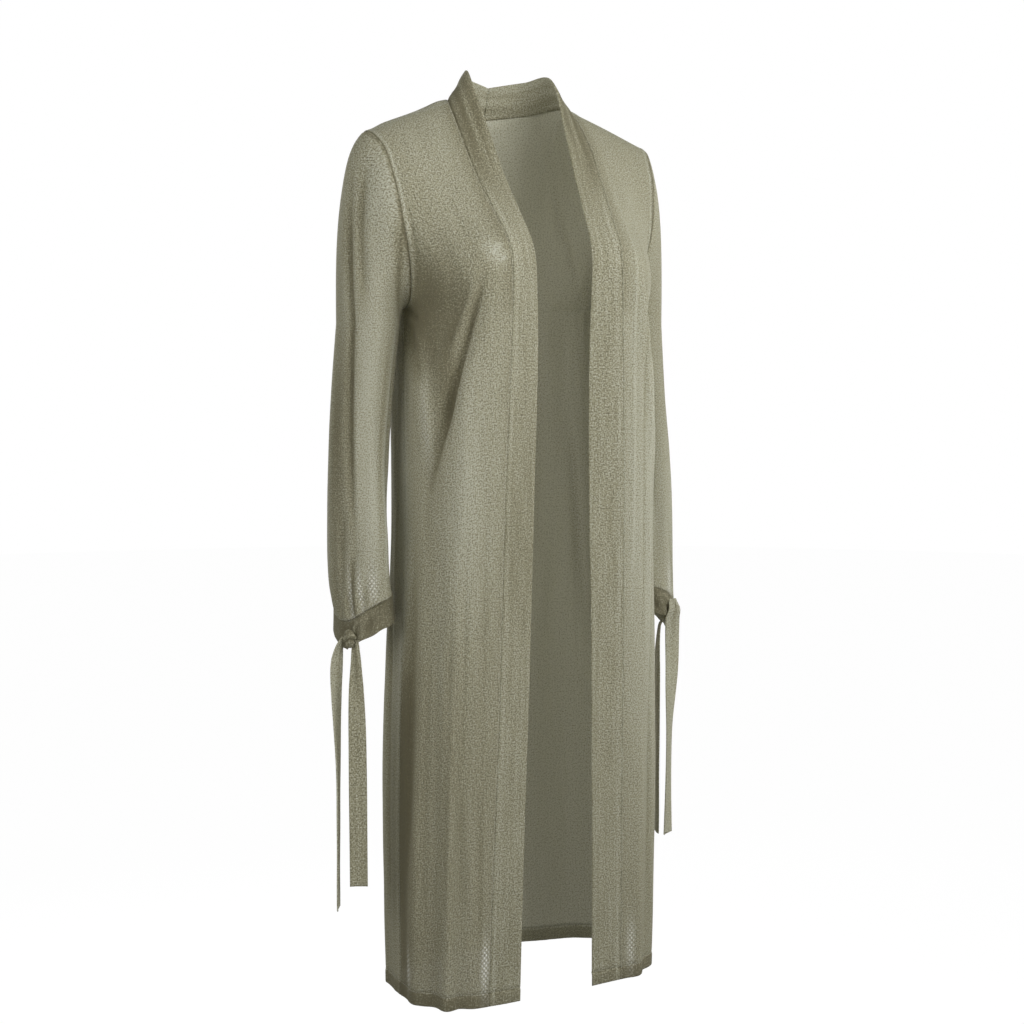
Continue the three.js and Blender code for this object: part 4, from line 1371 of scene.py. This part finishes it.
def knit(name, opacity, sheerness, ribbing, tone, russet):
    """A fine knit: columns of small loops with pinholes between them."""
    look = Look(name)
    u, v = look.cloth_place()
    wander = look.noise(u / 3.1, v / 3.7) - 0.5
    drift = look.noise(u / 2.7, v / 3.3, z=7.0) - 0.5
    x = (u + wander * 0.9) / WALE
    y = (v + drift * 0.9) / COURSE
    lean_in = (x.fraction() - 0.5).absolute() * 2.0
    legs = (x * TURN * 2.0).cos() * -0.5 + 0.5
    loops = ((y + lean_in * 0.5) * TURN).cos() * 0.5 + 0.5
    gap = (x * TURN).cos() * 0.5 + 0.5
    rung = (y * TURN).cos() * -0.5 + 0.5
    pinhole = ((gap * rung - 0.42) * 3.4).clamped()
    streak = look.noise(u / 2.6, v / 60.0, 2.0)
    mottle = look.noise(u / 30.0, v / 70.0, 3.0, z=3.0)
    grain = look.noise(u / 1.75, v / 1.75, 2.0, z=5.0)
    tint = look.noise(u / 2.3, v / 2.3, 1.0, z=9.0)
    doubled = look.attribute("doubled")
    thin_with_painted_light = look.attribute("thin_with_painted_light")
    # The tone attribute: each piece's painted light and shade, with its own deeper and paler tone
    tone_and_painted_light = look.attribute("tone")
    # The net is painted light: paler where the knit is thin, standing for light seen through it
    hole = ((u * (TURN / NET_WIDE)).cos() * (v * (TURN / NET_LONG)).cos()).clamped()
    painted_light_net = (thin_with_painted_light * (hole * 1.5 + 0.12)).clamped()
    shade = ((legs + loops) * 0.06 + streak * ribbing + mottle * 0.16 + grain * 3.0
             - pinhole * 0.1 - doubled * 0.2 + tone_and_painted_light * 0.5 + (tone - 1.17 - ribbing / 2))
    low = look.blend((shade * 2.0).clamped(), SAGE_DEEP, SAGE)
    knitted = look.blend((shade * 2.0 - 1.0).clamped(), low, SAGE_PALE)
    tinted = look.blend(((tint - 0.5) * russet).clamped(), knitted, RUSSET)
    speckled = look.blend(((0.5 - grain) * 2.2).clamped(), tinted, SPECK)
    colour = look.blend(painted_light_net, speckled, PAINTED_LIGHT_THROUGH)
    open_share = pinhole * (1 - doubled * 0.9) * sheerness + thin_with_painted_light * (0.1 + pinhole * 0.6)
    alpha = (opacity + doubled * (1 - opacity) * 0.8 - open_share).clamped()
    height = legs * loops * 0.5 + grain * 0.15 - pinhole * 0.3
    bump = look.node("ShaderNodeBump", {}, {"Strength": 0.45, "Distance": 0.0004, "Height": height})
    surface = look.node("ShaderNodeBsdfPrincipled", {}, {
        "Base Color": colour, "Roughness": grain * 0.12 + 0.8, "Alpha": alpha, "Normal": bump,
        "Specular IOR Level": 0.2, "Sheen Weight": 0.08, "Sheen Roughness": 0.5,
        "Sheen Tint": rgba(0.82, 0.82, 0.72)})
    through = look.node("ShaderNodeBsdfTranslucent", {}, {"Color": rgba(0.78, 0.76, 0.6)})
    look.surface(look.node("ShaderNodeMixShader", {}, {0: 0.27, 1: surface, 2: through}))
    return look.material


def thread_look():
    look = Look("stitch_thread")
    place = look.node("ShaderNodeTexCoord", {}, {}, "Object")
    grain = look.node("ShaderNodeTexNoise", {}, {"Vector": place, "Scale": 900.0})
    look.surface(look.node("ShaderNodeBsdfPrincipled", {}, {
        "Base Color": look.blend(grain, SAGE_PALE, THREAD), "Roughness": 0.75,
        "Specular IOR Level": 0.3, "Sheen Weight": 0.1}))
    return look.material


def plain_look(name, colour, glow):
    look = Look(name)
    look.surface(look.node("ShaderNodeBsdfPrincipled", {}, {
        "Base Color": colour, "Roughness": 0.9, "Specular IOR Level": 0.0,
        "Emission Color": rgba(1, 1, 1), "Emission Strength": glow}))
    return look.material


# The camera, lights and stage

CAMERA_PLACE = (-1.0692, -1.8554, -0.2959)
CAMERA_AIM = (0.0015, -0.0009, -0.488)
LENS = 63.49
# Each soft light's place, size in metres and power in watts
LIGHTS = {
    "key": ((0.42, -1.55, 0.25), 1.2, 37),
    "side_fill": ((-1.55, -0.4, -0.17), 1.2, 16),
    "rim": ((1.55, -0.28, -0.1), 1.2, 12),
    "behind": ((0.3, 1.8, 0.0), 1.6, 34),
}
LIGHT_AIM = (0, 0, -0.45)
AMBIENT = 0.19
FLOOR_LEVEL = -1.5
FLOOR_RADIUS = 9
BACKDROP_RADIUS = 14


def aim(thing, place, target):
    thing.location = place
    thing.rotation_euler = (Vector(target) - Vector(place)).to_track_quat("-Z", "Y").to_euler()
    bpy.context.scene.collection.objects.link(thing)


def set_camera():
    data = bpy.data.cameras.new("camera")
    data.lens = LENS
    data.sensor_width = 36
    camera = bpy.data.objects.new("camera", data)
    aim(camera, CAMERA_PLACE, CAMERA_AIM)
    bpy.context.scene.camera = camera


def set_lights():
    for name, (place, size, power) in LIGHTS.items():
        data = bpy.data.lights.new(name, "AREA")
        data.size = size
        data.energy = power
        aim(bpy.data.objects.new(name, data), place, LIGHT_AIM)
    world = bpy.data.worlds.new("studio")
    world.use_nodes = True
    world.node_tree.nodes["Background"].inputs["Color"].default_value = rgba(1, 1, 1)
    world.node_tree.nodes["Background"].inputs["Strength"].default_value = AMBIENT
    bpy.context.scene.world = world
    bpy.context.scene.view_settings.view_transform = "Standard"


def disc(name, radius, level, material):
    turns = np.linspace(0, TURN, 97)[:-1]
    points = np.stack([radius * np.cos(turns), radius * np.sin(turns), 0 * turns + level], axis=-1)
    mesh = bpy.data.meshes.new(name)
    mesh.from_pydata(points, [], [list(range(len(turns)))])
    return add_object(name, mesh, material)


def set_stage():
    floor_look = plain_look("pale_floor", rgba(0.02, 0.02, 0.02), 0.985)
    floor = disc("floor", FLOOR_RADIUS, FLOOR_LEVEL, floor_look)
    rings = np.linspace(-0.5, 0.5, 33)[:, None] * math.pi
    turns = np.linspace(0, TURN, 65)[None, :-1]
    grid = BACKDROP_RADIUS / METRES * xyz(
        np.cos(rings) * np.cos(turns), np.cos(rings) * np.sin(turns), np.sin(rings) + 0 * turns)
    mesh = ball_mesh("backdrop", grid[1:-1], 0 * grid[1:-1, :, 0])
    backdrop = add_object("backdrop", mesh, plain_look("white_backdrop", rgba(0, 0, 0), 1.0))
    for part in ("diffuse", "glossy", "transmission", "volume_scatter", "shadow"):
        setattr(backdrop, "visible_" + part, False)
        setattr(floor, "visible_" + part, False)


# Putting the cardigan together

def cut_size(cloth):
    """The width, length and area that the cloth was cut to, in metres."""
    grid = cloth.grid
    if cloth.wraps:
        grid = np.concatenate([grid, grid[:, :1]], axis=1)
    width = distances(grid, 1)[:, -1].max() * METRES
    length = distances(grid, 0)[-1].max() * METRES
    diagonals = np.cross(grid[1:, 1:] - grid[:-1, :-1], grid[1:, :-1] - grid[:-1, 1:])
    area = np.linalg.norm(diagonals, axis=-1).sum() / 2 * METRES ** 2
    return width, length, min(area, width * length)


def place_cloth(cloth, material):
    piece = add_object("cloth_" + cloth.name, cloth.mesh(), material)
    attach(piece, "root")
    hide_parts(cloth.name)
    width, length, area = cut_size(cloth)


def line_in(cloth, edge, inset):
    """Points and normals along a line that lies inset from one edge of the cloth."""
    grid = cloth.grid
    normals = cloth.normals()
    if edge in ("top", "bottom"):
        grid = grid.transpose(1, 0, 2)
        normals = normals.transpose(1, 0, 2)
    if edge in ("last", "bottom"):
        grid = grid[:, ::-1]
        normals = normals[:, ::-1]
    run = distances(grid, 1)
    after = np.maximum((run < inset).sum(axis=1), 1)
    each = np.arange(len(grid))
    t = ((inset - run[each, after - 1]) / (run[each, after] - run[each, after - 1]))[:, None]
    points = mix(grid[each, after - 1], grid[each, after], t)
    facing = mix(normals[each, after - 1], normals[each, after], t)
    if cloth.wraps:
        points = np.concatenate([points, points[:1]])
        facing = np.concatenate([facing, facing[:1]])
    return points, unit(facing)


def sew(name, cloth, edge, inset, rows=slice(None)):
    points, facing = line_in(cloth, edge, inset)
    made = stitch_line(points[rows], facing[rows])
    piece = stitches("stitches_" + name, made, THREAD_RADIUS, THREAD_LOOK)
    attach(piece, "root")


def place_knot(side, middle, outward):
    label = "right" if side < 0 else "left"
    name = "knot_" + label
    piece = add_object("cloth_" + name, ball_mesh(name, *knot(side, middle, outward)), DOUBLE_LOOK)
    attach(piece, "root")
    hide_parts(name)


set_camera()
set_lights()
set_stage()
SINGLE_LOOK = knit("single_knit", 0.92, 0.35, 0.3, 0.02, 1.4)
DOUBLE_LOOK = knit("doubled_knit", 0.97, 0.1, 0.6, 0.0, 0.6)
THREAD_LOOK = thread_look()

back = back_panel()
fronts = {side: front_panel(side) for side in (-1, 1)}
bands = {side: band(side) for side in (-1, 1)}
sleeves = {side: sleeve(side) for side in (-1, 1)}
cuffs = {side: cuff(side) for side in (-1, 1)}
weld([back, *fronts.values(), *bands.values(), *sleeves.values(), *cuffs.values()])

place_cloth(back, SINGLE_LOOK)
for side, label in ((-1, "right"), (1, "left")):
    place_cloth(fronts[side], SINGLE_LOOK)
    place_cloth(bands[side], DOUBLE_LOOK)
    place_cloth(sleeves[side], SINGLE_LOOK)
    place_cloth(cuffs[side], DOUBLE_LOOK)
    base = cuff_grid(sleeve_grid(side, ROUND)[-1], ROUND)
    middle, outward = knot_middle(side, base)
    place_knot(side, middle, outward)
    for end in ("front", "back"):
        strip = tie(f"tie_{label}_{end}", side, middle)
        place_cloth(strip, DOUBLE_LOOK)
    sew(f"shoulder_{label}", fronts[side], "top", 2.2)
    sew(f"armhole_{label}_front", fronts[side], "last", 2.2, slice(0, YOKE_ROWS + 1))
    sew(f"side_{label}", fronts[side], "last", 1.8, slice(YOKE_ROWS, -10))
    sew(f"band_{label}", fronts[side], "first", 1.6, slice(0, -1))
    sew(f"hem_{label}", fronts[side], "bottom", HEM_HEIGHT)
    sew(f"cuff_{label}", sleeves[side], "bottom", 1.8)
sew("armhole_right_back", back, "first", 2.2, slice(0, YOKE_ROWS + 1))
sew("armhole_left_back", back, "last", 2.2, slice(0, YOKE_ROWS + 1))
sew("hem_back", back, "bottom", HEM_HEIGHT)
